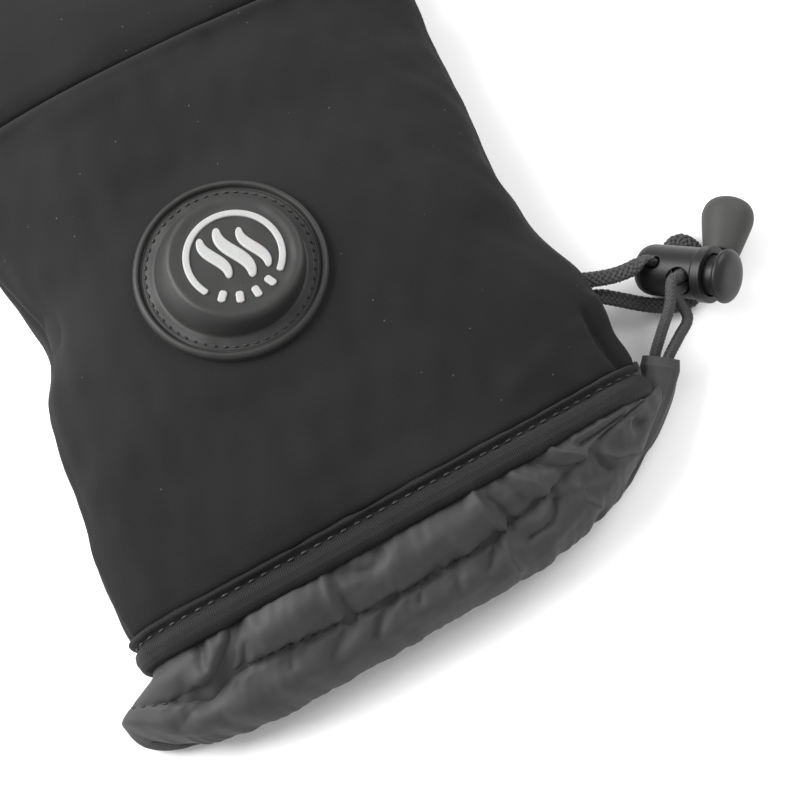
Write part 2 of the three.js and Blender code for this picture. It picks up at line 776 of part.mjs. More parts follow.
function makePlunger() {
  const body = lathe([
    [0, plungerEnd], [shaftRadius, plungerEnd], [shaftRadius, capBack],
    [capRadius - 0.6, capBack], [capRadius, capBack + 0.6], [capRadius, capBack + capThick * 0.6],
    [capRadius - 1, capBack + capThick * 0.95], [0, capBack + capThick],
  ], lockSides);
  const width = 2 * cordHoleRadius - pieceGap;
  const window = openingBar(windowLength, width, shaftRadius / 4, 4 * shaftRadius);
  const middle = windowStart + windowLength / 2;
  const plunger = solidFrom(body).subtract(crosswise(window, cordHoleRoll, middle));
  return inLockFrame("lock_plunger", plunger, colours.plastic);
}

function makeSpring() {
  const start = boreFloor + pieceGap + springWire / 2;
  const end = plungerEnd - pieceGap - springWire / 2;
  const radius = shaftRadius - 2 * springWire;
  const steps = springTurns * 10;
  const points = Array.from({ length: steps + 1 }, (_, i) => {
    const angle = (i / steps) * springTurns * 2 * Math.PI;
    const z = THREE.MathUtils.lerp(start, end, i / steps);
    return new THREE.Vector3(radius * Math.cos(angle), radius * Math.sin(angle), z);
  });
  const wire = new THREE.Shape().absarc(0, 0, springWire / 2, 0, 2 * Math.PI, false);
  const options = { extrudePath: new THREE.CatmullRomCurve3(points), steps, curveSegments: 3 };
  const coil = new THREE.ExtrudeGeometry(wire, options).applyMatrix4(lockFrame);
  return named("lock_spring", coil, colours.steel);
}

// Cords

function lockPoint(x, y, z) {
  return new THREE.Vector3(x, y, z).applyMatrix4(lockFrame);
}

const cordOut = acrossAt(cordHoleRoll);
const strandSide = new THREE.Vector3(0, 0, 1).cross(cordOut);

// Where a strand passes the lock: outward from the hole, side by side in it
function strandPoint(outward, share) {
  const local = cordOut.clone().multiplyScalar(outward)
    .addScaledVector(strandSide, (share * strandPitch) / 2);
  return lockPoint(local.x, local.y, nipAt);
}

const bellBase = lockPoint(-bellReach * cordOut.x, -bellReach * cordOut.y, nipAt);
const bellEnd = fromEdge([bellEndX, bellEndY, bellRadius + bellLift]);
const bellAxis = new THREE.Vector3().subVectors(bellEnd, bellBase).normalize();

function roundCord(name, points) {
  const curve = new THREE.CatmullRomCurve3(points);
  const section = new THREE.Shape().absarc(0, 0, drawcordDiameter / 2, 0, 2 * Math.PI, false);
  const steps = Math.round(curve.getLength() / (drawcordDiameter * 0.9));
  const options = { extrudePath: curve, steps, curveSegments: 4 };
  return named(name, new THREE.ExtrudeGeometry(section, options), colours.cord);
}

function makeDrawcord(name, route, share) {
  const free = route.map(fromEdge);
  const inLock = [1.5, 1.15, 0.4, -0.4, -1.1].map((k) => {
    return strandPoint(k * barrelRadius, share);
  });
  const side = strandSide.clone().transformDirection(lockFrame)
    .projectOnPlane(bellAxis).normalize();
  const intoBell = [1.6, 0].map((back) => bellBase.clone()
    .addScaledVector(bellAxis, -pieceGap - back)
    .addScaledVector(side, share * bellPitch));
  return roundCord(name, [...free, ...inLock, ...intoBell]);
}

function makeBell() {
  const profile = lathe([
    [0, 0], [bellMouthRadius * 0.94, 0], [bellMouthRadius, 1.2],
    [bellRadius * 0.86, bellLength * 0.45], [bellRadius, bellLength * 0.66],
    [bellRadius * 0.93, bellLength * 0.82], [bellRadius * 0.66, bellLength * 0.95],
    [0, bellLength],
  ], 20);
  const turn = new THREE.Quaternion().setFromUnitVectors(new THREE.Vector3(0, 0, 1), bellAxis);
  const bell = named("cord_end_bell", profile, colours.rubber);
  bell.quaternion.copy(turn);
  bell.position.copy(bellBase);
  return bell;
}

// The woven anchor braid: flat, laid along its route with a face direction at
// each point
function flatBraid(name, stations) {
  const curve = new THREE.CatmullRomCurve3(stations.map((station) => station.point));
  const steps = Math.round(curve.getLength() / (braidWidth * 0.7));
  const corners = [[1, 0.55], [0.8, 1], [-0.8, 1], [-1, 0.55], [-1, -0.55], [-0.8, -1], [0.8, -1],
    [1, -0.55]];
  const rings = Array.from({ length: steps + 1 }, (_, i) => {
    const share = i / steps;
    const spot = share * (stations.length - 1);
    const index = Math.min(Math.floor(spot), stations.length - 2);
    const face = stations[index].face.clone().lerp(stations[index + 1].face, spot - index);
    const tangent = curve.getTangent(share);
    const across = new THREE.Vector3().crossVectors(face, tangent).normalize();
    const normal = new THREE.Vector3().crossVectors(tangent, across);
    return corners.map(([x, y]) => curve.getPoint(share)
      .addScaledVector(across, (x * braidWidth) / 2)
      .addScaledVector(normal, (y * braidThick) / 2));
  });
  const geometry = solidGeometry(rings, curve.getPoint(0), curve.getPoint(1));
  return named(name, geometry, colours.cord);
}

function makeAnchorBraid() {
  const slotOut = acrossAt(slotRoll);
  const edgeOn = lockSide.clone().multiplyScalar(Math.cos(degrees(slotRoll)))
    .addScaledVector(lockUp, Math.sin(degrees(slotRoll)));
  const up = new THREE.Vector3(0, 0, 1);
  const station = (point, face) => ({ point: fromEdge(point), face });
  const inSlot = [1.25, 0.6, 0, -0.6, -1.15].map((share) => {
    const local = slotOut.clone().multiplyScalar(share * barrelRadius);
    return { point: lockPoint(local.x, local.y, slotAt), face: edgeOn };
  });
  return flatBraid("anchor_braid", [
    ...anchorUpperRoute.map((point) => station(point, up)),
    ...inSlot,
    ...anchorLowerRoute.map((point) => station(point, up)),
  ]);
}

// The whole glove, moved so that the origin is under its middle
const glove = new THREE.Group();
glove.add(
  makeGauntlet(), makeHemBinding(), makeStormCuff(), ...makeHand(), makeButtonCover(),
  ...makeIcon(),
);
const body = new THREE.Box3().setFromObject(glove, true);
glove.add(
  makeBarrel(), makePlunger(), makeSpring(), makeBell(), makeAnchorBraid(),
  makeDrawcord("drawcord_front", drawcordFrontRoute, 1),
  makeDrawcord("drawcord_back", drawcordBackRoute, -1),
);
glove.position.set(-(body.min.x + body.max.x) / 2, -(body.min.y + body.max.y) / 2, -body.min.z);
const part = new THREE.Group();
part.add(glove);

export default part;
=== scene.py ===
# %% [markdown]
# # A heated winter glove
# The glove lies palm down on a white table. Its long padded cuff fills the view, with a
# moulded heat button on it, a ribbed hem, a gathered nylon storm cuff and a small cord
# lock. This notebook builds the look of each piece round the glove's fixed frame.
# The frame is loaded first. The look may stand proud of it by a few millimetres of
# cloth and no more.

# %% Load the frame
import math

import bmesh
import bpy
import numpy as np
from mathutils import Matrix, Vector


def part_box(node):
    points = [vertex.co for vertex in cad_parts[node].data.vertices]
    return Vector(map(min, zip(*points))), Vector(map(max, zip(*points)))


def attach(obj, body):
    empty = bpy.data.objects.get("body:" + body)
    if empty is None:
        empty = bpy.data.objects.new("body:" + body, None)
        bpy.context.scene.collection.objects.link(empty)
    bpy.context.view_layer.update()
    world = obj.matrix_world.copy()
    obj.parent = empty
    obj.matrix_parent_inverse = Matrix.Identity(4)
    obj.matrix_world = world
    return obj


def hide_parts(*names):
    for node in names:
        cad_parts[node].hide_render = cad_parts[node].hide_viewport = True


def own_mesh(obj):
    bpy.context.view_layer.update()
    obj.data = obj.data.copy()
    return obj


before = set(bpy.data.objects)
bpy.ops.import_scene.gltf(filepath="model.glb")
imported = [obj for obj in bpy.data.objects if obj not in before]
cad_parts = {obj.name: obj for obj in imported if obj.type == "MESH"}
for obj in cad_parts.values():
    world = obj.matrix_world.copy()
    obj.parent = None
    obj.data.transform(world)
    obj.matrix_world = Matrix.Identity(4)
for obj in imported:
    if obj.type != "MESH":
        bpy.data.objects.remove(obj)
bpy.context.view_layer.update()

# %% [markdown]
# ## Where things are
# Sizes are in millimetres, measured from the middle of the glove's back: +Y points to
# the fingertips, -X is the thumb side and +Z is up. The heat button and the wrist seam
# are in known places, so their boxes in the frame give the shift from these
# millimetres to the frame's metres.

# %% Sizes and the shift to the frame
MM = 0.001
BUTTON = np.array([-11.5, -12.9])
SEAM_Y = 51.0
HEM_Y = -74.0
CUFF_LENGTH = SEAM_Y - HEM_Y
CUFF_WIDTH = 130.0
CUFF_HEIGHT = 38.0
SHELL_WALL = 3.0
HEM_BOW = 3.0
HEM_WIDTH = 8.0
PIECE_GAP = 0.3

button_low, button_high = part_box("button_cover")
cuff_low, cuff_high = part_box("gauntlet_shell")
SHIFT = np.array([
    (button_low.x + button_high.x) / 2 / MM - BUTTON[0],
    cuff_high.y / MM - SEAM_Y,
    0.0,
])


def place(points):
    """Millimetres on the glove to metres in the frame."""
    return (np.asarray(points, float) + SHIFT) * MM


print("shift, mm:", SHIFT.round(2))

# %% [markdown]
# ## The camera
# The picture looks down steeply on the cuff, turned a little to the left of its length.
# A long lens keeps the glove's sides nearly parallel, as they are in the photograph.

# %% Camera
CAMERA_TURN = -30.0
CAMERA_HEIGHT = 68.0
CAMERA_AWAY = 379.0
LOOK_AT = (9.0, -53.0, 20.0)

turn, height = math.radians(CAMERA_TURN), math.radians(CAMERA_HEIGHT)
back = Vector((math.sin(turn) * math.cos(height), -math.cos(turn) * math.cos(height), math.sin(height)))
camera_data = bpy.data.cameras.new("camera")
camera_data.lens = 75
camera_data.sensor_width = 36
camera = bpy.data.objects.new("camera", camera_data)
bpy.context.scene.collection.objects.link(camera)
camera.location = Vector(place(LOOK_AT)) + back * CAMERA_AWAY * MM
camera.rotation_mode = "QUATERNION"
camera.rotation_quaternion = (-back).to_track_quat("-Z", "Y")
bpy.context.scene.camera = camera
print("camera at", [round(v, 3) for v in camera.location])

# %% [markdown]
# ## Helpers for meshes
# Most pieces are sleeves: rings of points, one after the other. A grid of rings gives
# clean quads that follow the cloth, so folds can be pushed in along the normals. The
# rings are spaced evenly round the sleeve, which keeps every quad about square.

# %% Mesh helpers
def ring_faces(rings, count, closed=False):
    """Quads between rings of count points, and back to the first ring if closed."""
    r, c = np.meshgrid(np.arange(rings if closed else rings - 1), np.arange(count), indexing="ij")
    here, beside = r * count + c, r * count + (c + 1) % count
    there, across = ((r + 1) % rings) * count + c, ((r + 1) % rings) * count + (c + 1) % count
    return np.stack([here, beside, across, there], -1).reshape(-1, 4).tolist()


def end_caps(rings, sides):
    """Two faces that close the first and the last ring."""
    last = (rings - 1) * sides
    return [list(range(sides)), [last + i for i in reversed(range(sides))]]


def put(name, mesh):
    """An object for a mesh, in the scene."""
    obj = bpy.data.objects.new(name, mesh)
    bpy.context.scene.collection.objects.link(obj)
    return obj


def closed_mesh(name, points, faces):
    """A mesh with its normals turned outwards."""
    mesh = bpy.data.meshes.new(name)
    mesh.from_pydata(np.asarray(points).tolist(), [], faces)
    shell = bmesh.new()
    shell.from_mesh(mesh)
    bmesh.ops.recalc_face_normals(shell, faces=shell.faces)
    shell.to_mesh(mesh)
    shell.free()
    return mesh


def finished(name, mesh, material, replaces=(), body="glove"):
    """The mesh as a smooth piece of one material, riding on a body of the frame."""
    mesh.shade_smooth()
    mesh.materials.clear()
    mesh.materials.append(material)
    obj = put(name, mesh)
    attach(obj, body)
    if replaces:
        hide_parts(*replaces)
    return obj


def piece(name, points, faces, material, replaces=(), body="glove"):
    """A named piece from millimetre points and faces."""
    return finished(name, closed_mesh(name, place(points), faces), material, replaces, body)


def rounded(obj, voxel, smoothing):
    """A new mesh: the object remeshed in voxels and smoothed, so that its edges are round."""
    remesh = obj.modifiers.new("remesh", "REMESH")
    remesh.mode = "VOXEL"
    remesh.voxel_size = voxel
    smooth = obj.modifiers.new("smooth", "SMOOTH")
    smooth.factor = 0.5
    smooth.iterations = smoothing
    return bpy.data.meshes.new_from_object(obj.evaluated_get(bpy.context.evaluated_depsgraph_get()))


def mesh_values(mesh, kind="co"):
    """The places or the normals of a mesh's points."""
    values = np.empty(len(mesh.vertices) * 3)
    mesh.vertices.foreach_get(kind, values)
    return values.reshape(-1, 3)


def unit(vectors):
    """Vectors brought to length one."""
    return vectors / np.linalg.norm(vectors, axis=-1, keepdims=True)


def run_of(line):
    """The distance run at each point of a line."""
    return np.concatenate([[0], np.cumsum(np.linalg.norm(np.diff(line, axis=0), axis=1))])


def along_line(at, run, line):
    """Points of a line at given distances."""
    return np.stack([np.interp(at, run, line[:, k]) for k in range(line.shape[1])], -1)


TABLE_GAP = 0.02


def above_table(points):
    """The same points, kept just clear of the table."""
    points[..., 2] = np.maximum(points[..., 2], TABLE_GAP)
    return points


def grid_normals(grid):
    """Outward normals of a grid of rings."""
    around = np.roll(grid, -1, 1) - np.roll(grid, 1, 1)
    along = np.gradient(grid, axis=0)
    normal = np.cross(around, along)
    normal /= np.linalg.norm(normal, axis=-1, keepdims=True) + 1e-9
    outward = grid - grid.mean(1, keepdims=True)
    flip = np.sign((normal * outward).sum(-1).mean())
    return normal * flip


def even_rings(grid, count):
    """Each closed ring of a fine grid, resampled to count points spaced evenly."""
    wrapped = np.concatenate([grid, grid[:, :1]], 1)
    steps = np.linalg.norm(np.diff(wrapped[..., :3], axis=1), axis=-1)
    rows = []
    for ring, step in zip(wrapped, steps):
        run = np.concatenate([[0], np.cumsum(step)])
        at = np.linspace(0, run[-1], count, endpoint=False)
        rows.append(along_line(at, run, ring))
    return np.array(rows)


def soft_noise(points, size, seed, waves=16):
    """Smooth noise of about unit height, from plane waves of nearly one size."""
    rng = np.random.default_rng(seed)
    total = np.zeros(points.shape[:-1])
    for _ in range(waves):
        direction = unit(rng.normal(size=3))
        pitch = size * rng.uniform(0.7, 1.4)
        total += np.sin(points @ direction * (2 * np.pi / pitch) + rng.uniform(0, 2 * np.pi))
    return total / math.sqrt(waves / 2)


def bump(distance, width):
    """1 at distance 0, falling away over width."""
    return np.exp(-((distance / width) ** 2))


def ramp(value, low, high):
    """0 below low and 1 above high, smooth between."""
    share = np.clip((value - low) / (high - low), 0, 1)
    return share * share * (3 - 2 * share)


# %% [markdown]
# ## Shader groups shared by the cloths
# Real cloth never has one flat tone. Four small groups give it life: a slow cloudiness,
# a fine knit or weave in relief, a few specks of lint, and ribs that follow a
# coordinate stored on the mesh. Each group gives only a mask or a height, and the
# material decides what to do with it.

# %% Group helpers
def new_group(name, inputs, outputs):
    """An empty shader group with float inputs {name: value} and float outputs."""
    group = bpy.data.node_groups.new(name, "ShaderNodeTree")
    for label, value in inputs.items():
        socket = group.interface.new_socket(label, in_out="INPUT", socket_type="NodeSocketFloat")
        socket.default_value = value
    for label in outputs:
        group.interface.new_socket(label, in_out="OUTPUT", socket_type="NodeSocketFloat")
    source = group.nodes.new("NodeGroupInput")
    sink = group.nodes.new("NodeGroupOutput")
    return group, source, sink


def math_node(tree, operation, *values):
    """A Math node fed by numbers or sockets. Returns its output socket."""
    node = tree.nodes.new("ShaderNodeMath")
    node.operation = operation
    for index, value in enumerate(values):
        if isinstance(value, (int, float)):
            node.inputs[index].default_value = value
        else:
            tree.links.new(value, node.inputs[index])
    return node.outputs[0]


def metres_per(tree, size_mm):
    """Turns a size in millimetres into a texture scale, in waves per metre."""
    return math_node(tree, "DIVIDE", 1000.0, size_mm)


def noise_at(tree, coordinate, scale, detail=2.0):
    """A Noise Texture's factor at a coordinate and scale."""
    node = tree.nodes.new("ShaderNodeTexNoise")
    node.inputs["Detail"].default_value = detail
    tree.links.new(coordinate, node.inputs["Vector"])
    tree.links.new(scale, node.inputs["Scale"])
    return node.outputs["Fac"]


# %% Cloudiness: a slow change of tone over the cloth
cloudiness, source, sink = new_group("cloudiness", {"Size mm": 30.0, "Amount": 0.1}, ["Tone"])
where = cloudiness.nodes.new("ShaderNodeTexCoord").outputs["Object"]
slow = noise_at(cloudiness, where, metres_per(cloudiness, source.outputs["Size mm"]))
centred = math_node(cloudiness, "SUBTRACT", slow, 0.5)
swing = math_node(cloudiness, "MULTIPLY", centred, source.outputs["Amount"])
cloudiness.links.new(math_node(cloudiness, "ADD", swing, 1.0), sink.inputs["Tone"])

# %% Knit: tiny loops in two directions, with uneven yarn
knit, source, sink = new_group("knit", {"Pitch mm": 0.7, "Unevenness": 0.5}, ["Height"])
where = knit.nodes.new("ShaderNodeTexCoord").outputs["Object"]
axes = knit.nodes.new("ShaderNodeSeparateXYZ")
knit.links.new(where, axes.inputs[0])
beat = math_node(knit, "DIVIDE", 2000.0 * math.pi, source.outputs["Pitch mm"])
lean = math_node(knit, "MULTIPLY", axes.outputs["Z"], 0.8)
waves = []
for axis in "XY":
    slanted = math_node(knit, "ADD", axes.outputs[axis], lean)
    waves.append(math_node(knit, "SINE", math_node(knit, "MULTIPLY", slanted, beat)))
loops = math_node(knit, "MULTIPLY", *waves)
coarser = math_node(knit, "MULTIPLY", source.outputs["Pitch mm"], 1.3)
uneven = noise_at(knit, where, metres_per(knit, coarser))
yarn = math_node(knit, "MULTIPLY", uneven, source.outputs["Unevenness"])
height = math_node(knit, "ADD", math_node(knit, "MULTIPLY", loops, 0.5), yarn)
knit.links.new(height, sink.inputs["Height"])

# %% Lint: sparse pale specks
lint, source, sink = new_group("lint", {"Spacing mm": 9.0, "Speck mm": 0.25}, ["Mask"])
where = lint.nodes.new("ShaderNodeTexCoord").outputs["Object"]
cells = lint.nodes.new("ShaderNodeTexVoronoi")
lint.links.new(where, cells.inputs["Vector"])
lint.links.new(metres_per(lint, source.outputs["Spacing mm"]), cells.inputs["Scale"])
reach = math_node(lint, "DIVIDE", source.outputs["Speck mm"], source.outputs["Spacing mm"])
near = math_node(lint, "LESS_THAN", cells.outputs["Distance"], reach)
few = math_node(lint, "GREATER_THAN", cells.outputs["Color"], 0.45)
lint.links.new(math_node(lint, "MULTIPLY", near, few), sink.inputs["Mask"])

# %% Ribs: fine ridges across a stored coordinate
ribs, source, sink = new_group("ribs", {"Coordinate": 0.0, "Pitch mm": 0.5}, ["Height"])
phase = math_node(ribs, "DIVIDE", source.outputs["Coordinate"], source.outputs["Pitch mm"])
wave = math_node(ribs, "SINE", math_node(ribs, "MULTIPLY", phase, 2 * math.pi))
height = math_node(ribs, "ADD", math_node(ribs, "MULTIPLY", wave, 0.5), 0.5)
ribs.links.new(height, sink.inputs["Height"])
print("shader groups:", [g.name for g in bpy.data.node_groups])

# %% [markdown]
# ## Materials
# Nearly everything here is black, so the finishes differ in how they catch the light:
# the softshell is matt with a soft sheen at grazing angles, the nylon has a broad
# highlight with fine creases, the silicone is satin, and the lock is moulded plastic
# with a faint grain.

# %% Material helpers
def new_material(name, colour, roughness, **sockets):
    """A material with a Principled BSDF, its plain numbers set on the shader itself."""
    material = bpy.data.materials.new(name)
    material.use_nodes = True
    tree = material.node_tree
    shader = tree.nodes["Principled BSDF"]
    shader.inputs["Base Color"].default_value = (*colour, 1)
    shader.inputs["Roughness"].default_value = roughness
    for label, value in sockets.items():
        shader.inputs[label.replace("_", " ")].default_value = value
    return material, tree, shader


def use_group(tree, group, **values):
    """A group node with its inputs set: Size_mm=3 sets the input Size mm."""
    node = tree.nodes.new("ShaderNodeGroup")
    node.node_tree = group
    for label, value in values.items():
        node.inputs[label.replace("_", " ")].default_value = value
    return node


def mottle(tree, shader, colour, cloud_mm, amount, lint_mm=None, speck=(0.09, 0.09, 0.09)):
    """Base Color: a colour whose tone drifts over the surface, with pale specks if lint_mm
    gives their spacing and size."""
    tone = use_group(tree, cloudiness, Size_mm=cloud_mm, Amount=amount).outputs["Tone"]
    shade = tree.nodes.new("ShaderNodeMix")
    shade.data_type = "RGBA"
    shade.blend_type = "MULTIPLY"
    shade.inputs["Factor"].default_value = 1
    shade.inputs["A"].default_value = (*colour, 1)
    tree.links.new(tone, shade.inputs["B"])
    result = shade.outputs["Result"]
    if lint_mm is not None:
        mask = use_group(tree, lint, Spacing_mm=lint_mm[0], Speck_mm=lint_mm[1]).outputs["Mask"]
        specks = tree.nodes.new("ShaderNodeMix")
        specks.data_type = "RGBA"
        tree.links.new(mask, specks.inputs["Factor"])
        tree.links.new(result, specks.inputs["A"])
        specks.inputs["B"].default_value = (*speck, 1)
        result = specks.outputs["Result"]
    tree.links.new(result, shader.inputs["Base Color"])


def relief(tree, shader, height, depth_mm, strength=1.0, under=None):
    """A Bump node that feeds Normal, over another one if given."""
    node = tree.nodes.new("ShaderNodeBump")
    node.inputs["Strength"].default_value = strength
    node.inputs["Distance"].default_value = depth_mm * MM
    tree.links.new(height, node.inputs["Height"])
    if under is not None:
        tree.links.new(under, node.inputs["Normal"])
    tree.links.new(node.outputs["Normal"], shader.inputs["Normal"])
    return node.outputs["Normal"]


def fine_noise(tree, size_mm, detail=3.0, stretch=(1, 1, 1)):
    """Object-space noise of a size in millimetres, stretched along an axis."""
    mapping = tree.nodes.new("ShaderNodeMapping")
    mapping.inputs["Scale"].default_value = stretch
    tree.links.new(tree.nodes.new("ShaderNodeTexCoord").outputs["Object"], mapping.inputs["Vector"])
    node = tree.nodes.new("ShaderNodeTexNoise")
    node.inputs["Scale"].default_value = 1000.0 / size_mm
    node.inputs["Detail"].default_value = detail
    tree.links.new(mapping.outputs["Vector"], node.inputs["Vector"])
    return node.outputs["Fac"]


# %% Softshell: matt brushed knit
SOFTSHELL = (0.0132, 0.0131, 0.0132)
softshell, tree, shader = new_material(
    "softshell", SOFTSHELL, 0.82, Sheen_Weight=0.03, Sheen_Roughness=0.5, Specular_IOR_Level=0.07,
)
mottle(tree, shader, SOFTSHELL, 30, 0.5, (4.5, 0.17), (0.07, 0.07, 0.07))
loops = use_group(tree, knit, Pitch_mm=0.62, Unevenness=0.9)
nap = relief(tree, shader, fine_noise(tree, 1.6), 0.10, 0.5)
relief(tree, shader, loops.outputs["Height"], 0.05, 0.7, under=nap)

# %% Hem binding: ribbed elastic, with its ribs along a stored coordinate
BINDING = (0.0124, 0.0124, 0.0129)
binding, tree, shader = new_material(
    "binding", BINDING, 0.68, Sheen_Weight=0.03, Sheen_Roughness=0.4, Specular_IOR_Level=0.15,
)
mottle(tree, shader, BINDING, 9, 0.3, (6, 0.2))
around = tree.nodes.new("ShaderNodeAttribute")
around.attribute_name = "round_mm"
ridges = use_group(tree, ribs, Pitch_mm=0.52)
tree.links.new(around.outputs["Fac"], ridges.inputs["Coordinate"])
relief(tree, shader, ridges.outputs["Height"], 0.2, 0.9)

# %% Nylon: a thin weave with fine creases and a broad highlight
NYLON = (0.0383, 0.0379, 0.0388)
nylon, tree, shader = new_material(
    "nylon", NYLON, 0.6, Sheen_Weight=0.03, Sheen_Roughness=0.4, Specular_IOR_Level=0.2,
)
mottle(tree, shader, NYLON, 8, 0.4, (8, 0.22))
wrinkles = relief(tree, shader, fine_noise(tree, 5.5, 3, (1.6, 0.7, 1)), 0.22, 0.4)
weave = use_group(tree, knit, Pitch_mm=0.34, Unevenness=0.3)
relief(tree, shader, weave.outputs["Height"], 0.02, 0.6, under=wrinkles)

# %% Silicone: satin, with a moulded grain
SILICONE = (0.0227, 0.0224, 0.022)
silicone, tree, shader = new_material("silicone", SILICONE, 0.5, Specular_IOR_Level=0.25)
mottle(tree, shader, SILICONE, 14, 0.18, (5, 0.16), (0.06, 0.06, 0.06))
relief(tree, shader, fine_noise(tree, 0.5), 0.03, 0.5)

# %% White inlay of the icon: slightly waxy
INLAY = (0.3, 0.3, 0.296)
inlay, tree, shader = new_material("inlay", INLAY, 0.5, Subsurface_Weight=0.15, Subsurface_Scale=0.001)
mottle(tree, shader, INLAY, 3, 0.12)
relief(tree, shader, fine_noise(tree, 0.4), 0.02, 0.4)

# %% Plastic of the cord lock: satin with spark-eroded grain
PLASTIC = (0.0082, 0.0082, 0.0087)
plastic, tree, shader = new_material("plastic", PLASTIC, 0.42, Specular_IOR_Level=0.3)
mottle(tree, shader, PLASTIC, 6, 0.2)
relief(tree, shader, fine_noise(tree, 0.22), 0.02, 0.6)

# %% Rubber of the cord end: paler and more matt
RUBBER = (0.0393, 0.0389, 0.0373)
rubber, tree, shader = new_material("rubber", RUBBER, 0.6, Specular_IOR_Level=0.25)
mottle(tree, shader, RUBBER, 8, 0.2)
relief(tree, shader, fine_noise(tree, 0.3), 0.03, 0.6)

# %% Cord: polyester yarns
CORD = (0.0346, 0.0346, 0.0356)
cord_yarn, tree, shader = new_material(
    "cord_yarn", CORD, 0.6, Sheen_Weight=0.05, Sheen_Roughness=0.4, Specular_IOR_Level=0.35,
)
mottle(tree, shader, CORD, 1.2, 0.7)
relief(tree, shader, fine_noise(tree, 0.18), 0.05, 0.8)

# %% Thread and spring steel
THREAD = (0.0105, 0.0105, 0.0108)
thread, tree, shader = new_material("thread", THREAD, 0.6, Sheen_Weight=0.05)
mottle(tree, shader, THREAD, 0.8, 0.8)
relief(tree, shader, fine_noise(tree, 0.12), 0.03, 0.6)

STEEL = (0.56, 0.56, 0.58)
steel, tree, shader = new_material("steel", STEEL, 0.3, Metallic=1.0)
mottle(tree, shader, STEEL, 2, 0.2)
relief(tree, shader, fine_noise(tree, 0.3, 3, (1, 1, 6)), 0.01, 0.4)
print("materials:", len(bpy.data.materials))

# %% [markdown]
# ## The cord lock's place
# The lock is a barrel that leans on the table beside the cuff. Its own axis runs from
# the tail, where the anchor braid goes through, to the button at its head. A matrix
# carries points from the lock's own millimetres to the glove's.

# %% The lock's frame
LOCK_TAIL = np.array([81.0, -47.4, 4.8])
LOCK_HEADING, LOCK_TILT = math.radians(-56), math.radians(34)
CORD_HOLE_ROLL, SLOT_ROLL = math.radians(56), math.radians(16)
BARREL_RADIUS, BARREL_LENGTH = 6.25, 19.8
SLOT_AT, CORD_HOLE_AT = 5.4, 19.8 - 6.0
NIP_AT = CORD_HOLE_AT + 0.6

lock_axis = np.array([
    math.cos(LOCK_TILT) * math.cos(LOCK_HEADING),
    math.cos(LOCK_TILT) * math.sin(LOCK_HEADING),
    math.sin(LOCK_TILT),
])
lock_side = np.array([-math.sin(LOCK_HEADING), math.cos(LOCK_HEADING), 0.0])
lock_up = np.cross(lock_axis, lock_side)
lock_basis = np.stack([lock_side, lock_up, lock_axis])


def on_lock(points):
    """The lock's own millimetres to the glove's."""
    return np.asarray(points, float) @ lock_basis + LOCK_TAIL


def across_lock(roll):
    """A direction across the barrel, in the lock's own frame."""
    return np.array([-math.sin(roll), math.cos(roll), 0.0])


print("lock axis:", lock_axis.round(4))

# %% [markdown]
# ## Cords
# Three cords lie free beside the cuff: a flat woven loop that ties the lock to the side
# seam, and two strands of round elastic that come out of the storm cuff's channel, pass
# through the lock and end in a rubber bell. A tube with a painted pattern looks false
# so close, so each cord is braided from real yarns: half of them wind one way, half the
# other, and at each crossing one set rides over. The routes are short lists of points,
# smoothed by one curve.

# %% Smooth routes
def smooth_route(points, step=0.35):
    """Points along a centripetal Catmull-Rom curve, about step millimetres apart."""
    p = np.asarray(points, float)
    p = np.vstack([2 * p[0] - p[1], p, 2 * p[-1] - p[-2]])
    knots = np.concatenate([[0], np.cumsum(np.linalg.norm(np.diff(p, axis=0), axis=1) ** 0.5)])
    line = []
    for i in range(1, len(p) - 2):
        t0, t1, t2, t3 = knots[i - 1:i + 3]
        count = max(int(np.linalg.norm(p[i + 1] - p[i]) / step * 3), 4)
        t = np.linspace(t1, t2, count, endpoint=False)[:, None]
        a1 = (t1 - t) / (t1 - t0) * p[i - 1] + (t - t0) / (t1 - t0) * p[i]
        a2 = (t2 - t) / (t2 - t1) * p[i] + (t - t1) / (t2 - t1) * p[i + 1]
        a3 = (t3 - t) / (t3 - t2) * p[i + 1] + (t - t2) / (t3 - t2) * p[i + 2]
        b1 = (t2 - t) / (t2 - t0) * a1 + (t - t0) / (t2 - t0) * a2
        b2 = (t3 - t) / (t3 - t1) * a2 + (t - t1) / (t3 - t1) * a3
        line.append((t2 - t) / (t2 - t1) * b1 + (t - t1) / (t2 - t1) * b2)
    line = np.vstack([*line, p[-2:-1]])
    run = run_of(line)
    at = np.linspace(0, run[-1], max(int(run[-1] / step), 8) + 1)
    return along_line(at, run, line), run[-1]


def frames_along(line, faces):
    """Across and normal directions along a line, nearest to the wanted face directions."""
    tangent = unit(np.gradient(line, axis=0))
    across = unit(np.cross(faces, tangent))
    return across, np.cross(tangent, across)


def tube_faces(tubes, rings, sides):
    """Quads and end caps of several tubes stored one after the other."""
    faces = []
    for index in range(tubes):
        first = index * rings * sides
        faces += (np.array(ring_faces(rings, sides)) + first).tolist()
        faces += [[first + i for i in cap] for cap in end_caps(rings, sides)]
    return faces


# %% Braiding
YARN_SIDES = 7


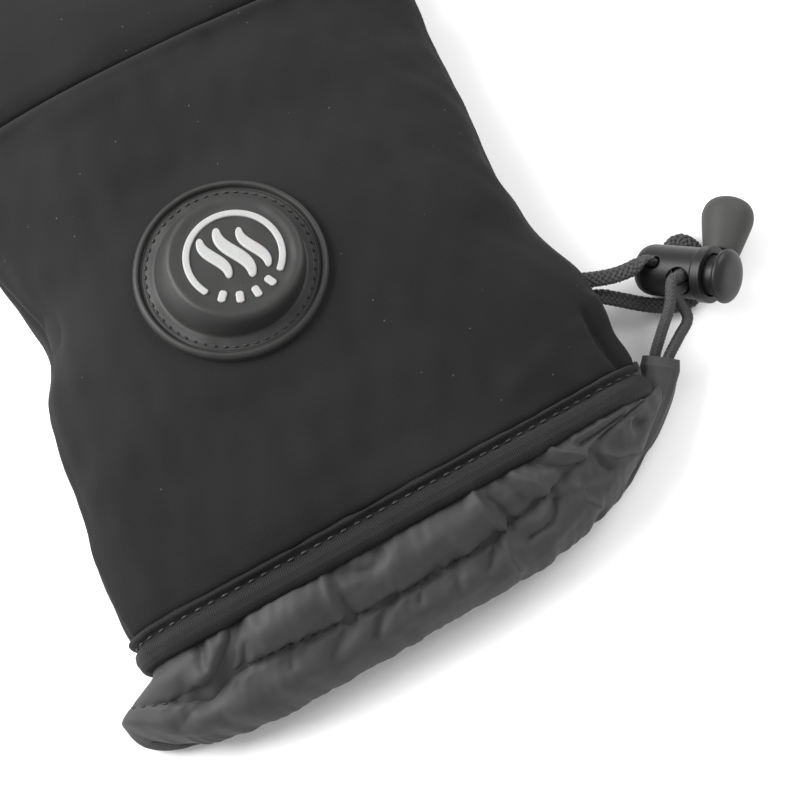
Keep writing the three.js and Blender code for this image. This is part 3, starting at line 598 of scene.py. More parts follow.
def braid(name, line, faces, wide, thick, yarns, pitch, replaces, yarn_share=1.12, plump=0.42):
    """Yarns wound both ways round a flat or round section, over and under in turn."""
    across, normal = frames_along(line, faces)
    run = run_of(line)
    girth = math.pi * (1.5 * (wide + thick) / 2 - math.sqrt(wide * thick) / 2)
    yarn_half = girth / yarns / 2 * yarn_share * math.cos(math.atan(girth / pitch))
    yarn_thick = min(yarn_half * plump, thick * 0.15)
    lift = yarn_thick * 0.8
    section = np.linspace(0, 2 * np.pi, YARN_SIDES, endpoint=False)
    points = []
    for way in (1, -1):
        over = way * lift * np.cos(2 * np.pi * yarns * run / pitch)
        for yarn in range(yarns):
            angle = 2 * np.pi * (yarn / yarns + way * run / pitch)
            half_wide = wide / 2 - yarn_thick - lift
            half_thick = thick / 2 - yarn_thick - lift
            cosine, sine = np.cos(angle)[:, None], np.sin(angle)[:, None]
            rim = across * (half_wide * cosine) + normal * (half_thick * sine)
            out = unit(across * (cosine / half_wide) + normal * (sine / half_thick))
            centre = line + rim + out * over[:, None]
            forward = unit(np.gradient(centre, axis=0))
            flat = np.cross(out, forward)
            ring = centre[:, None] + flat[:, None] * (yarn_half * np.cos(section))[None, :, None]
            points.append(ring + out[:, None] * (yarn_thick * np.sin(section))[None, :, None])
    points = np.array(points).reshape(-1, 3)
    return piece(
        name, points, tube_faces(2 * yarns, len(line), YARN_SIDES), cord_yarn, replaces
    )


# %% Anchor braid
ANCHOR_WIDTH, ANCHOR_THICK = 4.3, 2.3
ANCHOR_UPPER = [(62.6, -45.4, 13.4), (65.8, -46.9, 13.5), (70.4, -48.4, 13.4), (74.8, -49, 13.4)]
ANCHOR_LOWER = [
    (89.8, -51.4, 2), (90, -47.6, 2.2), (91.6, -44.8, 2.3), (94.6, -45, 2.3), (96, -48.6, 2.2),
    (94.4, -53.8, 2.1), (90.8, -58.2, 2.1), (86, -59.4, 2.2), (80.6, -57.8, 3), (75.4, -55, 4.6),
    (70.4, -52.2, 7.2), (66.4, -50.4, 9.6), (62.8, -49.6, 11),
]
ANCHOR_IN_SLOT = [1.25, 0.6, 0, -0.6, -1.15]

slot_out = across_lock(SLOT_ROLL)
edge_on = lock_side * math.cos(SLOT_ROLL) + lock_up * math.sin(SLOT_ROLL)
slot_points = [
    on_lock(slot_out * share * BARREL_RADIUS + np.array([0, 0, SLOT_AT])) for share in ANCHOR_IN_SLOT
]
anchor_points = [*map(np.array, ANCHOR_UPPER), *slot_points, *map(np.array, ANCHOR_LOWER)]
anchor_faces = [np.array([0, 0, 1.0])] * 4 + [edge_on] * 5 + [np.array([0, 0, 1.0])] * 13
anchor_line, anchor_length = smooth_route(anchor_points)
stops = np.array([np.argmin(np.linalg.norm(anchor_line - p, axis=1)) for p in anchor_points])
facing = np.stack([
    np.interp(np.arange(len(anchor_line)), stops, [f[k] for f in anchor_faces]) for k in range(3)
], -1)
anchor = braid(
    "anchor_braid_woven", anchor_line, facing, ANCHOR_WIDTH, ANCHOR_THICK, 6, 9.5, ["anchor_braid"],
    yarn_share=0.98, plump=0.6,
)
print("anchor braid, mm:", round(anchor_length, 1))

# %% Drawcord strands and the bell's place
DRAWCORD = 2.8
STRAND_PITCH, BELL_PITCH, BELL_REACH = 3.2, 2.0, 12.6
BELL_RADIUS, BELL_MOUTH_RADIUS, BELL_LENGTH = 6.4, 4.3, 15.0
STRANDS = {
    "drawcord_front": (1, [(68.6, -75.2, 7.8), (71.2, -72, 9.2), (75.8, -69.1, 11.3), (79.8, -66.4, 13.3)]),
    "drawcord_back": (-1, [(66.1, -73.2, 7.8), (68.6, -70.1, 9.2), (72.4, -66.5, 12.9), (76.6, -62.7, 16.8)]),
}
hole_out = across_lock(CORD_HOLE_ROLL)
strand_side = np.cross([0, 0, 1.0], hole_out)
bell_base = on_lock(-BELL_REACH * hole_out + np.array([0, 0, NIP_AT]))
bell_end = np.array([112.4, -40.0, BELL_RADIUS + 0.4])
bell_axis = unit(bell_end - bell_base)
bell_side = strand_side @ lock_basis
bell_side = unit(bell_side - bell_axis * (bell_side @ bell_axis))

for name, (share, free) in STRANDS.items():
    nip = strand_side * share * STRAND_PITCH / 2 + np.array([0, 0, NIP_AT])
    inside = [on_lock(hole_out * k * BARREL_RADIUS + nip) for k in (1.5, 1.15, 0.4, -0.4, -1.1)]
    ends = [bell_base - bell_axis * (PIECE_GAP + back) + bell_side * share * BELL_PITCH for back in (1.6, 0)]
    line, length = smooth_route([*map(np.array, free), *inside, *ends], 0.3)
    facing = np.tile(np.array([0.3, 0.2, 0.93]), (len(line), 1))
    strand = braid(name + "_woven", line, facing, DRAWCORD, DRAWCORD, 8, 7.5, [name])
    print(name, "mm:", round(length, 1))

# %% [markdown]
# ## The shape of a flattened sleeve
# The cuff, its hem and the nylon skirt are all one kind of shape: a sleeve with a flat
# sole on the table, full sides and a low crown. A short table says how wide and high it
# is along its length, and the columns are smoothed so that no section shows as a step.

# %% Sleeve sections
REST_SHARE, SINK_SHARE = 0.42, 1.25
SIDE_ROUND, CROWN_ROUND, SOLE_ROUND = 0.8, 0.85, 0.7
FINE = np.linspace(-np.pi / 2, 1.5 * np.pi, 1800, endpoint=False)


def sleeve(width, centre, height, inset, angle=FINE):
    """Rings of a flattened sleeve: x, z, cosine and sine at every angle."""
    cosine, sine = np.cos(angle)[None], np.sin(angle)[None]
    middle = height * REST_SHARE
    side = np.sign(cosine) * np.abs(cosine) ** SIDE_ROUND
    crown = (height - middle - inset) * np.abs(sine) ** CROWN_ROUND
    sole = (middle * SINK_SHARE - inset) * np.abs(sine) ** SOLE_ROUND
    x = centre + (width / 2 - inset) * side
    z = np.maximum(middle + np.where(sine > 0, crown, -sole), inset)
    return x, z, np.broadcast_to(cosine, x.shape), np.broadcast_to(sine, x.shape)


def rows_at(table, at, soft):
    """Columns of a table at given shares, each averaged over a short stretch."""
    table = np.asarray(table, float)
    at = np.asarray(at, float)
    columns = [np.zeros(at.shape) for _ in range(table.shape[1] - 1)]
    offsets = np.linspace(-1, 1, 9)
    weights = np.exp(-2 * offsets**2)
    for offset, weight in zip(offsets, weights / weights.sum()):
        spots = np.clip(at + offset * soft, table[0, 0], table[-1, 0])
        for k, column in enumerate(columns):
            column += weight * np.interp(spots, table[:, 0], table[:, k + 1])
    return columns


def creases(points, table, keen=2.0):
    """Height over points from ridges and valleys, each along a line of places. keen
    is 2 for a round crest and nearer 1 for a sharp one."""
    total = np.zeros(points.shape[:-1])
    for tall, wide, *places in table:
        away = np.full(points.shape[:-1], np.inf)
        for start, end in zip(places[:-1], places[1:]):
            along = np.subtract(end, start)
            offset = points[..., :2] - np.array(start)
            share = np.clip(offset @ along / (along @ along), 0, 1)
            away = np.minimum(away, np.linalg.norm(offset - share[..., None] * along, axis=-1))
        total += tall * np.exp(-((away / wide) ** keen))
    return total


# %% [markdown]
# ## The gauntlet
# The gauntlet is the long padded tube over the forearm: brushed softshell outside, wadding
# and a lining inside. It is soft, so its crown has a shallow dent at the thumb side and
# low folds by the hem, and its small swells die away round the moulded button. At the wrist its edge
# curls down into the seam. Both walls are built, so the mouth shows real thickness.

# %% The gauntlet's rows: share of length, width, middle, height, bow at the hem
GAUNTLET = [
    (0, 1.005, -0.03, 0.74, 1), (0.1, 1.01, -0.022, 0.83, 0.7), (0.22, 0.987, -0.018, 0.92, 0.3),
    (0.36, 0.949, -0.022, 0.98, 0), (0.5, 0.922, -0.004, 1, 0), (0.62, 0.903, 0.021, 0.98, 0),
    (0.75, 0.933, 0.026, 0.95, 0), (0.88, 0.971, 0.028, 0.92, 0), (1, 1.019, 0.018, 0.9, 0),
]
# Dents: share of length, degrees round, depth in mm, reach in length and in degrees
DENTS = [(0.62, 166, 3.2, 0.09, 20), (0.06, 22, 2.0, 0.05, 12), (0.72, 78, 1.5, 0.1, 26)]
# Soft folds: height and half-width in mm, then the places they pass, x and y
SHELL_FOLDS = [
    (1.0, 2.2, (55, -75), (52, -60)), (-1.3, 1.3, (58.5, -75), (56, -57)),
    (1.1, 1.7, (61.5, -74), (60, -54)), (0.8, 5, (-62, -66), (-58, -40)),
    (0.7, 4, (-30, 44), (10, 47)), (0.6, 3, (30, -66), (44, -62)),
]


def cuff_rings(share, inset):
    """Rings of the gauntlet at shares of its length, inset from its outside."""
    share = share[:, None]
    width, centre, height, bow = rows_at(GAUNTLET, share, 0.07)
    x, z, cosine, sine = sleeve(width * CUFF_WIDTH, centre * CUFF_WIDTH, height * CUFF_HEIGHT, inset)
    out = np.abs(x - centre * CUFF_WIDTH) / (width * CUFF_WIDTH / 2)
    y = HEM_Y + share * CUFF_LENGTH + bow * HEM_BOW * np.minimum(out, 1) ** 3
    return np.stack([x, y, z, cosine, sine], -1)


def cuff_top(x, y):
    """Height of the gauntlet's crown over points in plan."""
    x, y = np.broadcast_arrays(np.asarray(x, float), np.asarray(y, float))
    width, centre, height, _ = rows_at(GAUNTLET, (y.ravel() - HEM_Y) / CUFF_LENGTH, 0.07)
    side = np.minimum(np.abs(x.ravel() - centre * CUFF_WIDTH) / (width * CUFF_WIDTH / 2), 1)
    crown = (1 - side ** (2 / SIDE_ROUND)) ** (CROWN_ROUND / 2)
    return (height * CUFF_HEIGHT * (REST_SHARE + (1 - REST_SHARE) * crown)).reshape(x.shape)


# %% Build the gauntlet
AROUND = 340
shares = np.linspace(0, 1, 141)
outer = even_rings(cuff_rings(shares, 0), AROUND)
skin, cosine, sine = outer[..., :3], outer[..., 3], outer[..., 4]
degrees_round = np.degrees(np.arctan2(sine, cosine)) % 360
from_seam = ((1 - shares) * CUFF_LENGTH)[:, None]
from_hem = (shares * CUFF_LENGTH)[:, None]
upper = ramp(sine, -0.2, 0.25)

push = np.zeros(skin.shape[:2])
for share, where, depth, reach, spread in DENTS:
    push -= depth * bump((shares - share)[:, None], reach) * bump(degrees_round - where, spread)
push += creases(skin, SHELL_FOLDS) * upper
calm = ramp(np.hypot(skin[..., 0] - BUTTON[0], skin[..., 1] - BUTTON[1]), 21, 34)
calm = np.where(sine > 0, calm, 1)
swells = 0.45 * soft_noise(skin, 30, 3) + 0.14 * soft_noise(skin, 9, 4)
push += swells * calm * ramp(from_seam, 0, 5)
push += 0.5 * bump(from_seam - 2.4, 1.3) - 1.3 * (1 - ramp(from_seam, 0, 1.7))
push += 0.5 * bump(from_hem - 5, 4) - 0.8 * (1 - ramp(from_hem, 0, 1.3))
side_z = (rows_at(GAUNTLET, shares, 0.07)[2] * CUFF_HEIGHT * REST_SHARE)[:, None] + 2.5
at_side = ramp(np.abs(cosine), 0.6, 0.8)
push += at_side * (0.4 * bump(skin[..., 2] - side_z - 1.7, 1.3) - 0.7 * bump(skin[..., 2] - side_z, 0.7))
skin = skin + grid_normals(skin) * push[..., None]
skin = above_table(skin)

lining = even_rings(cuff_rings(np.linspace(1, 0, 26), SHELL_WALL), AROUND)[..., :3]
rings = np.concatenate([skin, lining])
gauntlet = piece(
    "gauntlet_padded", rings.reshape(-1, 3), ring_faces(len(rings), AROUND, closed=True),
    softshell, ["gauntlet_shell"],
)
print("gauntlet quads:", len(gauntlet.data.polygons))

# %% [markdown]
# ## Stitches
# A stitch is a short thread that dives into the cloth at both ends. Each is a small
# capsule, bent at its ends, laid along a seam at an even pitch with a little scatter. A
# bump in the material would be cheaper, but only real thread casts its own shadow.

# %% Stitches along a line
CAPSULE = np.array([-1, -0.9, -0.6, -0.2, 0.2, 0.6, 0.9, 1])
THREAD_SIDES = 6


def stitches(name, line, ups, pitch, stitch, radius, seed=0):
    """Stitches along a closed line of points, with the cloth's outward directions."""
    rng = np.random.default_rng(seed)
    wrapped = np.vstack([line, line[:1]])
    wrapped_ups = np.vstack([ups, ups[:1]])
    run = run_of(wrapped)
    count = int(run[-1] / pitch)
    around = np.linspace(0, 2 * np.pi, THREAD_SIDES, endpoint=False)
    points = []
    for index in range(count):
        middle = (index + 0.5) * run[-1] / count + rng.normal(0, 0.03 * pitch)
        long = stitch * rng.uniform(0.92, 1.06)
        at = np.clip(middle + CAPSULE * long / 2, 0, run[-1])
        centre = along_line(at, run, wrapped)
        up = unit(along_line(at, run, wrapped_ups))
        centre += up * (radius * (0.75 - 1.9 * CAPSULE**4))[:, None]
        forward = unit(np.gradient(centre, axis=0))
        side = np.cross(up, forward)
        thick = radius * np.sqrt(np.maximum(1 - CAPSULE**2, 0.12))[:, None, None]
        ring = side[:, None] * np.cos(around)[None, :, None]
        ring = ring + up[:, None] * np.sin(around)[None, :, None]
        points.append(centre[:, None] + ring * thick)
    faces = tube_faces(count, len(CAPSULE), THREAD_SIDES)
    return piece(name, np.array(points).reshape(-1, 3), faces, thread)


# %% [markdown]
# ## The hem binding
# An elastic ribbed band closes the gauntlet. It is folded over the edge and stitched
# through, which leaves a thin welt at the top, a stitched valley, and a fat roll below.
# The profile is a table of how far the band stands out, along its width.

# %% The binding's profile: mm from its upper edge, mm proud of the sleeve
HEM_PROFILE = [
    (0, -0.2), (0.2, 0.55), (0.7, 0.95), (1.2, 0.75), (1.6, 0.05), (2.0, -0.5), (2.5, -0.5),
    (2.9, 0.1),
    (3.6, 0.8), (5, 1.2), (6.8, 0.95), (7.7, 0.3), (8.1, -0.5),
]
# Width, middle and height where the band lies
HEM_SECTION = (130.65, -3.9, 28.12)
HEM_WALL, HEM_DEPTH, HEM_VALLEY = 3.6, 8.1, 2.2
HEM_AROUND = 460


def hem_rings(down, swell, inset):
    """Rings of the band, down from its upper edge, each swollen by some millimetres."""
    down, swell = down[:, None], swell[:, None]
    width, centre, height = HEM_SECTION
    x, z, cosine, sine = sleeve(width + 2 * swell, centre, height + swell, inset)
    out = np.minimum(np.abs(x - centre) / (width / 2 + swell), 1)
    y = HEM_Y + 0.25 - down + HEM_BOW * out**3
    return np.stack([x, y, z, cosine, sine], -1)


down = np.linspace(0, HEM_DEPTH, 46)
(swell,) = rows_at(HEM_PROFILE, down, 0.18)
band = even_rings(hem_rings(down, swell, 0), HEM_AROUND)
face, band_sine = band[..., :3], band[..., 4]
wave = 0.12 * soft_noise(face, 22, 11) + 0.06 * soft_noise(face, 5, 12)
face = face + grid_normals(face) * (wave * ramp(band_sine, -0.5, 0.2))[..., None]
face = above_table(face)
back_down = np.linspace(HEM_DEPTH, 0.5, 9)
back = even_rings(hem_rings(back_down, np.zeros(9), HEM_WALL), HEM_AROUND)[..., :3]
rings = np.concatenate([face, back])
hem = piece(
    "hem_binding_ribbed", rings.reshape(-1, 3), ring_faces(len(rings), HEM_AROUND, closed=True),
    binding, ["hem_binding"],
)
middle_ring = face[24]
run = np.linalg.norm(np.roll(middle_ring, -1, 0) - middle_ring, axis=1)
round_mm = np.tile(np.concatenate([[0], np.cumsum(run)[:-1]]), len(rings))
hem.data.attributes.new("round_mm", "FLOAT", "POINT").data.foreach_set("value", round_mm)
valley = np.argmin(np.abs(down - HEM_VALLEY))
stitches("hem_stitches", face[valley], grid_normals(face)[valley], 3.2, 2.1, 0.32, seed=5)
print("hem quads:", len(hem.data.polygons))

# %% [markdown]
# ## The storm cuff
# A skirt of thin nylon is sewn under the hem. A hem channel at its edge carries the
# elastic drawcord, and the drawcord gathers it, so it puffs between folds. The big folds
# are listed one by one where they fall on this glove. The small gathers at both seams come
# from uneven waves, because a sewing machine leaves them at a nearly even pitch.

# %% The skirt's rows: share of reach, width, height, shift
SKIRT = [
    (0, 0.98, 0.7, 0), (0.25, 1.03, 0.66, 0), (0.55, 1.1, 0.5, -0.0075),
    (0.82, 1.137, 0.43, -0.0115),
    (1, 1.139, 0.33, -0.0105),
]
SOLE_REACH, CROWN_REACH = 13.5, 17.6
SKIRT_TOP_Y = HEM_Y - PIECE_GAP - HEM_WIDTH - PIECE_GAP
UNDER_HEM = 1.2
THUMB_BULGE, CORD_BULGE, CORNER_PULL, THUMB_DROP = 8, 3, 7, 5.5
CLOTH_MM = 22.0
SKIRT_AROUND = 620
# Where the channel's stitch line runs: x, share of reach
STITCH_LINE = [
    (-75, 0.54), (-60, 0.56), (-50, 0.47), (-40, 0.46), (-31, 0.51), (-16, 0.56), (5, 0.55),
    (12, 0.53),
    (22, 0.46), (31, 0.4), (40, 0.3), (49, 0.2), (62, 0.2),
]


def skirt_rings(rows, inset):
    """Rings of the skirt. Rows run from 0 at the hem over 0.5 at the stitch line to 1."""
    rows = np.asarray(rows, float)[:, None]
    half_x = sleeve(1.06 * CUFF_WIDTH, GAUNTLET[0][2] * CUFF_WIDTH, CUFF_HEIGHT * 0.5, inset)[0]
    (line,) = rows_at(STITCH_LINE, half_x, 5)
    line = 0.5 + (line - 0.5) * ramp(np.sin(FINE), -0.1, 0.2)
    share = np.where(rows < 0.5, 2 * rows * line, line + (2 * rows - 1) * (1 - line))
    width, height, shift = rows_at(SKIRT, share, 0.1)
    centre = (GAUNTLET[0][2] + shift) * CUFF_WIDTH
    x, z, cosine, sine = sleeve(width * CUFF_WIDTH, centre, height * CUFF_HEIGHT, inset)
    side = (x - centre) / (width * CUFF_WIDTH / 2)
    held = 1 - np.minimum(np.abs(side), 1) ** np.where(side < 0, THUMB_BULGE, CORD_BULGE)
    level = ramp(sine, -0.2, 0.4)
    level = level + (0.6 - level) * ramp(-side, 0.75, 1)
    reach = SOLE_REACH + (CROWN_REACH - SOLE_REACH) * level
    y = SKIRT_TOP_Y + UNDER_HEM * (1 - ramp(share, 0, 0.12)) - share * reach * held
    y = y + CORNER_PULL * share * np.maximum(side, 0) ** 6
    y = y - THUMB_DROP * share * np.clip(-side, 0, 1) ** 10
    y = y + HEM_BOW * np.minimum(np.abs(side), 1) ** 3
    return np.stack([x, y, z, cosine, sine, share], -1)


def gathers(along, pitch, seed):
    """Uneven waves round the skirt: along is the distance round it, in mm."""
    rng = np.random.default_rng(seed)
    total = np.zeros_like(along)
    for factor in (1, 1.37, 0.71, 1.83):
        total += rng.uniform(0.6, 1) * np.sin(along * (2 * np.pi / (pitch * factor)) + rng.uniform(0, 6.3))
    return total / 2


# %% Folds of the nylon: height and half-width in mm, then places as x and share of reach
PUFFS = [
    (1.4, 2.0, (-51, 0.06), (-54.9, 0.25), (-60, 0.38)), (2.2, 5.0, (-43, 0.22), (-35, 0.18)),
    (0.9, 5.0, (-15, 0.32), (-8, 0.34)), (1.1, 4.5, (-2, 0.25), (4, 0.3)),
    (0.9, 2.2, (21.5, 0.6), (24, 0.55)),
    (0.8, 3.0, (-66, 0.3), (-70, 0.4)), (0.7, 4.0, (-45, 0.75), (-35, 0.7)),
    (0.6, 4.0, (-8, 0.8), (0, 0.8)),
    (-1.4, 1.3, (-57.2, 0.05), (-57.9, 0.27)), (-1.2, 1.8, (-22.3, 0.09), (-17, 0.2), (-13.9, 0.1)),
    (-1.5, 1.8, (53, 0.45), (54, 0.58)), (-1.3, 1.7, (-25.4, 0.57), (-32.9, 0.78)),
    (-1.5, 1.4, (-16.6, 0.57), (-22.5, 0.81)), (-0.9, 1.1, (0.5, 0.62), (-1.7, 0.79)),
]
SHARP_FOLDS = [
    (-2.8, 1.9, (-48.2, 0), (-52.6, 0.25), (-56, 0.45), (-61, 0.6)),
    (-1.1, 2.0, (-61, 0.6), (-65, 0.72), (-68, 0.85)),
    (-1.0, 0.9, (-48.1, 0.25), (-50.3, 0.46)),
    (1.1, 1.1, (-27.3, 0.02), (-28.1, 0.29), (-27.9, 0.45)),
    (-1.2, 1.3, (-25.2, 0.02), (-25.6, 0.4)), (1.5, 1.0, (10.5, 0.02), (10.8, 0.19), (13.9, 0.5)),
    (-1.5, 1.1, (12.9, 0.12), (15.7, 0.45)), (1.4, 1.5, (20.5, 0.05), (25.6, 0.38)),
    (-0.9, 1.2, (18, 0.05), (21, 0.35)), (-1.4, 1.1, (25.7, 0.02), (32.8, 0.34)),
    (1.5, 1.1, (31, 0.03), (38.2, 0.31)), (1.0, 0.8, (37, 0.06), (51.5, 0.08)),
    (-1.0, 0.7, (38, 0.14), (50, 0.13)),
    (1.3, 0.9, (12, 0.58), (11.8, 0.81), (13.2, 0.97)), (-1.3, 1.3, (10.7, 0.58), (6.9, 0.79)),
    (-1.4, 1.0, (27.2, 0.53), (24.1, 0.72), (18.5, 0.74)),
    (1.3, 0.9, (32.9, 0.52), (33, 0.73), (36, 0.91)),
    (1.2, 1.0, (41.9, 0.42), (45, 0.6), (51.1, 0.88)), (-1.3, 1.0, (40.2, 0.4), (42.2, 0.67)),
    (-0.8, 0.8, (-40, 0.5), (-41.5, 0.66)), (-0.7, 0.7, (-9, 0.6), (-10.5, 0.72)),
    (0.8, 0.9, (2, 0.3), (3.6, 0.5)),
]


def to_cloth(table):
    """The same folds with their shares turned to millimetres along the cloth."""
    return [(tall, wide, *[(x, share * CLOTH_MM) for x, share in places]) for tall, wide, *places in table]


# %% Build the skirt
rows = np.concatenate([
    np.linspace(0, 0.42, 26, endpoint=False), np.linspace(0.42, 0.6, 24, endpoint=False),
    np.linspace(0.6, 1, 26),
])
outer = even_rings(skirt_rings(rows, 0), SKIRT_AROUND)
cloth, skirt_cosine, skirt_sine, share = outer[..., :3], outer[..., 3], outer[..., 4], outer[..., 5]
out_mm = share * CLOTH_MM
step = np.linalg.norm(np.roll(cloth[30], -1, 0) - cloth[30], axis=-1)
round_skirt = np.cumsum(step)[None]
upper = ramp(skirt_sine, -0.35, 0.1)
open_side = 1 - 0.7 * ramp(skirt_cosine, 0.9, 0.995) - 0.85 * ramp(-skirt_cosine, 0.8, 0.94)

row_mm = (rows[:, None] - 0.5) * 2 * 10
above = ramp(row_mm, -10, -7.5) * (1 - ramp(row_mm, -2.6, 0))
channel = np.clip((rows[:, None] - 0.5) * 2, 0, 1)
spot = np.stack([cloth[..., 0], out_mm], -1)
push = (creases(spot, to_cloth(PUFFS)) + creases(spot, to_cloth(SHARP_FOLDS), 1.35)) * upper
push += 0.7 * above * (0.5 + 0.5 * gathers(round_skirt + 0.3 * out_mm, 17, 7))
push += 0.3 * gathers(round_skirt, 5.4, 8) * bump(row_mm + 9, 1.8)
push += 0.42 * gathers(round_skirt - 0.4 * out_mm, 5.2, 9) * bump(row_mm, 1.7)
push += 1.2 * np.sin(np.pi * channel) ** 0.7 - 1.0 * bump(row_mm, 0.8)
push += 0.16 * gathers(round_skirt + 0.6 * out_mm, 8.1, 10) * ramp(channel, 0.1, 0.6)
push += 0.14 * soft_noise(cloth, 9, 13) + 0.05 * soft_noise(cloth, 3, 14)
push -= 0.8 * (1 - ramp(row_mm, -10, -9.2))
push = push * open_side
skin = cloth + grid_normals(cloth) * (push * ramp(skirt_sine, -0.9, -0.2))[..., None]
skin = above_table(skin)

CHANNEL_THICK, NYLON_WALL = 4.2, 1.2
inner_rows = np.linspace(1, 0.02, 26)
wall = NYLON_WALL + (CHANNEL_THICK - NYLON_WALL) * ramp(inner_rows, 0.5, 0.8)
thick = even_rings(skirt_rings(inner_rows, CHANNEL_THICK), SKIRT_AROUND)[..., :3]
thin = even_rings(skirt_rings(inner_rows, NYLON_WALL), SKIRT_AROUND)[..., :3]
inside = thin + (thick - thin) * ((wall - NYLON_WALL) / (CHANNEL_THICK - NYLON_WALL))[:, None, None]
inner_push = 0.5 * gathers(round_skirt, 8, 15) * ramp(skirt_sine[:1], -0.4, 0.1)
inside = inside - grid_normals(inside) * (inner_push * bump(inner_rows[:, None] - 0.6, 0.35))[..., None]
lip_out, lip_in = skin[-1], inside[0]
lip_reach = np.linalg.norm(lip_out - lip_in, axis=-1, keepdims=True) / 2
lip_way = skin[-1] - skin[-6]
lip_way /= np.linalg.norm(lip_way, axis=-1, keepdims=True) + 1e-9
lip = []
for turn in np.linspace(0, np.pi, 13)[1:-1]:
    middle = (lip_out + lip_in) / 2 + (lip_out - lip_in) / 2 * math.cos(turn)
    lip.append(middle + lip_way * lip_reach * math.sin(turn))
rings = np.concatenate([skin, np.array(lip), inside])
rings = above_table(rings)
skirt_faces = ring_faces(len(rings), SKIRT_AROUND, closed=True)

# %% [markdown]
# ### The channel's mouth
# Both strands leave the channel through a short soft sleeve at the cord side. It could be
# cut open in the skirt's mesh, but a crushed tube of the same nylon that sinks into the
# skirt is simpler, and stays one piece with it. A thinner tube beside it, closed at both
# ends, makes the small ruffle where the skirt meets the hem.

# %% Channel mouth
MOUTH_PATH = [
    (50.5, -87.0, 6.4), (56.5, -83.2, 7.2), (61.8, -79.3, 7.6), (65.8, -75.8, 7.8),
    (68.4, -72.9, 8.4),
    (70.0, -70.9, 9.3),
]
RUFFLE_PATH = [(53.5, -77.5, 13.6), (57.5, -75.0, 13.2), (61.0, -72.2, 12.6), (63.0, -69.5, 11.8)]


def soft_tube(path, radii, creasing, seed, bore=None):
    """A crushed tube of cloth along a path, closed at its start, and open over a bore."""
    line, _ = smooth_route(path, 0.22)
    across, normal = frames_along(line, np.tile([0.0, 0.0, 1.0], (len(line), 1)))
    share = np.linspace(0, 1, len(line))
    radius = np.interp(share, np.linspace(0, 1, len(radii)), radii)
    turn = np.linspace(0, 2 * np.pi, 110, endpoint=False)
    rng = np.random.default_rng(seed)
    folds = np.zeros((len(line), len(turn)))
    for lobes in (3, 5, 7, 10):
        drift = rng.uniform(-3, 3)
        tall = rng.uniform(0.4, 1) / lobes**0.5
        folds += tall * np.sin(lobes * turn[None] + drift * share[:, None] * 2 + rng.uniform(0, 6))
    reach = radius[:, None] + creasing * folds
    tube = line[:, None] + across[:, None] * (reach * np.cos(turn))[..., None]
    tube = tube + normal[:, None] * (reach * np.sin(turn))[..., None]
    if bore is not None:
        back = np.arange(len(line) - 1, len(line) - 28, -3)
        hole = np.minimum(bore, radius[back])[:, None] + 0.5 * creasing * folds[back]
        hole[0] = (radius[-1] + bore) / 2
        inner = line[back, None] + across[back, None] * (hole * np.cos(turn))[..., None]
        tube = np.concatenate([tube, inner + normal[back, None] * (hole * np.sin(turn))[..., None]])
    tube = above_table(tube)
    faces = ring_faces(len(tube), len(turn)) + end_caps(len(tube), len(turn))
    return tube.reshape(-1, 3), faces


MOUTH_RADII = [2.6, 3.5, 4.0, 4.2, 4.2, 4.2, 4.25, 4.3, 4.3, 4.7, 4.3]
RUFFLE_RADII = [0.6, 1.6, 2.2, 2.3, 1.9, 1.4, 0.5]
mouth = soft_tube(MOUTH_PATH, MOUTH_RADII, 0.3, 41, bore=3.4)
ruffle = soft_tube(RUFFLE_PATH, RUFFLE_RADII, 0.5, 42)
parts = [(rings.reshape(-1, 3), skirt_faces), mouth, ruffle]
points, faces = [], []
for part_points, part_faces in parts:
    first = sum(len(p) for p in points)
    points.append(part_points)
    faces += [[first + i for i in face] for face in part_faces]
points = np.concatenate(points)
skirt = piece("storm_cuff_nylon", points, faces, nylon, ["storm_cuff"])
seam_row = np.argmin(np.abs(rows - 0.5))
stitches("channel_stitches", skin[seam_row], grid_normals(skin)[seam_row], 2.7, 1.9, 0.2, seed=6)
print("skirt quads:", len(skirt.data.polygons), "round, m:", round(float(round_skirt[0, -1]) * MM, 3))

# %% [markdown]
# ## The hand
# The photograph's edge hides the hand, so it is finished plainly: the frame's hollow hand,
# thumb and fingers are joined into one padded skin, and their corners are rounded until
# the fingers meet in soft creases.

# %% Build the hand
HAND_PARTS = ["hand_shell", "thumb", "index_finger", "middle_finger", "ring_finger", "little_finger"]
HAND_VOXEL = 1.3
shell = bmesh.new()
for part in HAND_PARTS:
    shell.from_mesh(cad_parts[part].data)
rough = bpy.data.meshes.new("hand_rough")
shell.to_mesh(rough)
shell.free()
maker = put("hand_maker", rough)
hand_mesh = rounded(maker, HAND_VOXEL * MM, 14)
bpy.data.objects.remove(maker)
points, normals = mesh_values(hand_mesh) / MM - SHIFT, mesh_values(hand_mesh, "normal")
past_seam = points[:, 1] - SEAM_Y - PIECE_GAP
middle = np.array([0.018 * CUFF_WIDTH, 0, 12.0])
dip = 0.055 * (1 - ramp(past_seam, 0, 5.5))
points[:, [0, 2]] += (middle - points)[:, [0, 2]] * dip[:, None]
points += normals * (0.5 * soft_noise(points, 26, 21) * ramp(past_seam, 1, 8))[:, None]
points = above_table(points)
hand_mesh.vertices.foreach_set("co", place(points).ravel())
hand = finished("hand_padded", hand_mesh, softshell, HAND_PARTS)
print("hand faces:", len(hand_mesh.polygons))

# %% [markdown]
# ## The heat button
# A soft silicone cover is moulded over the switch. Its flange follows the cuff and is
# sewn down inside a raised rim, and its face, slightly dished inside a round shoulder,
# carries the icon. A polar grid carries one profile round; the flange drapes over the
# crown while the face stays level.

# %% Button cover
DOME_SHIFT = np.array([1.2, -0.7])
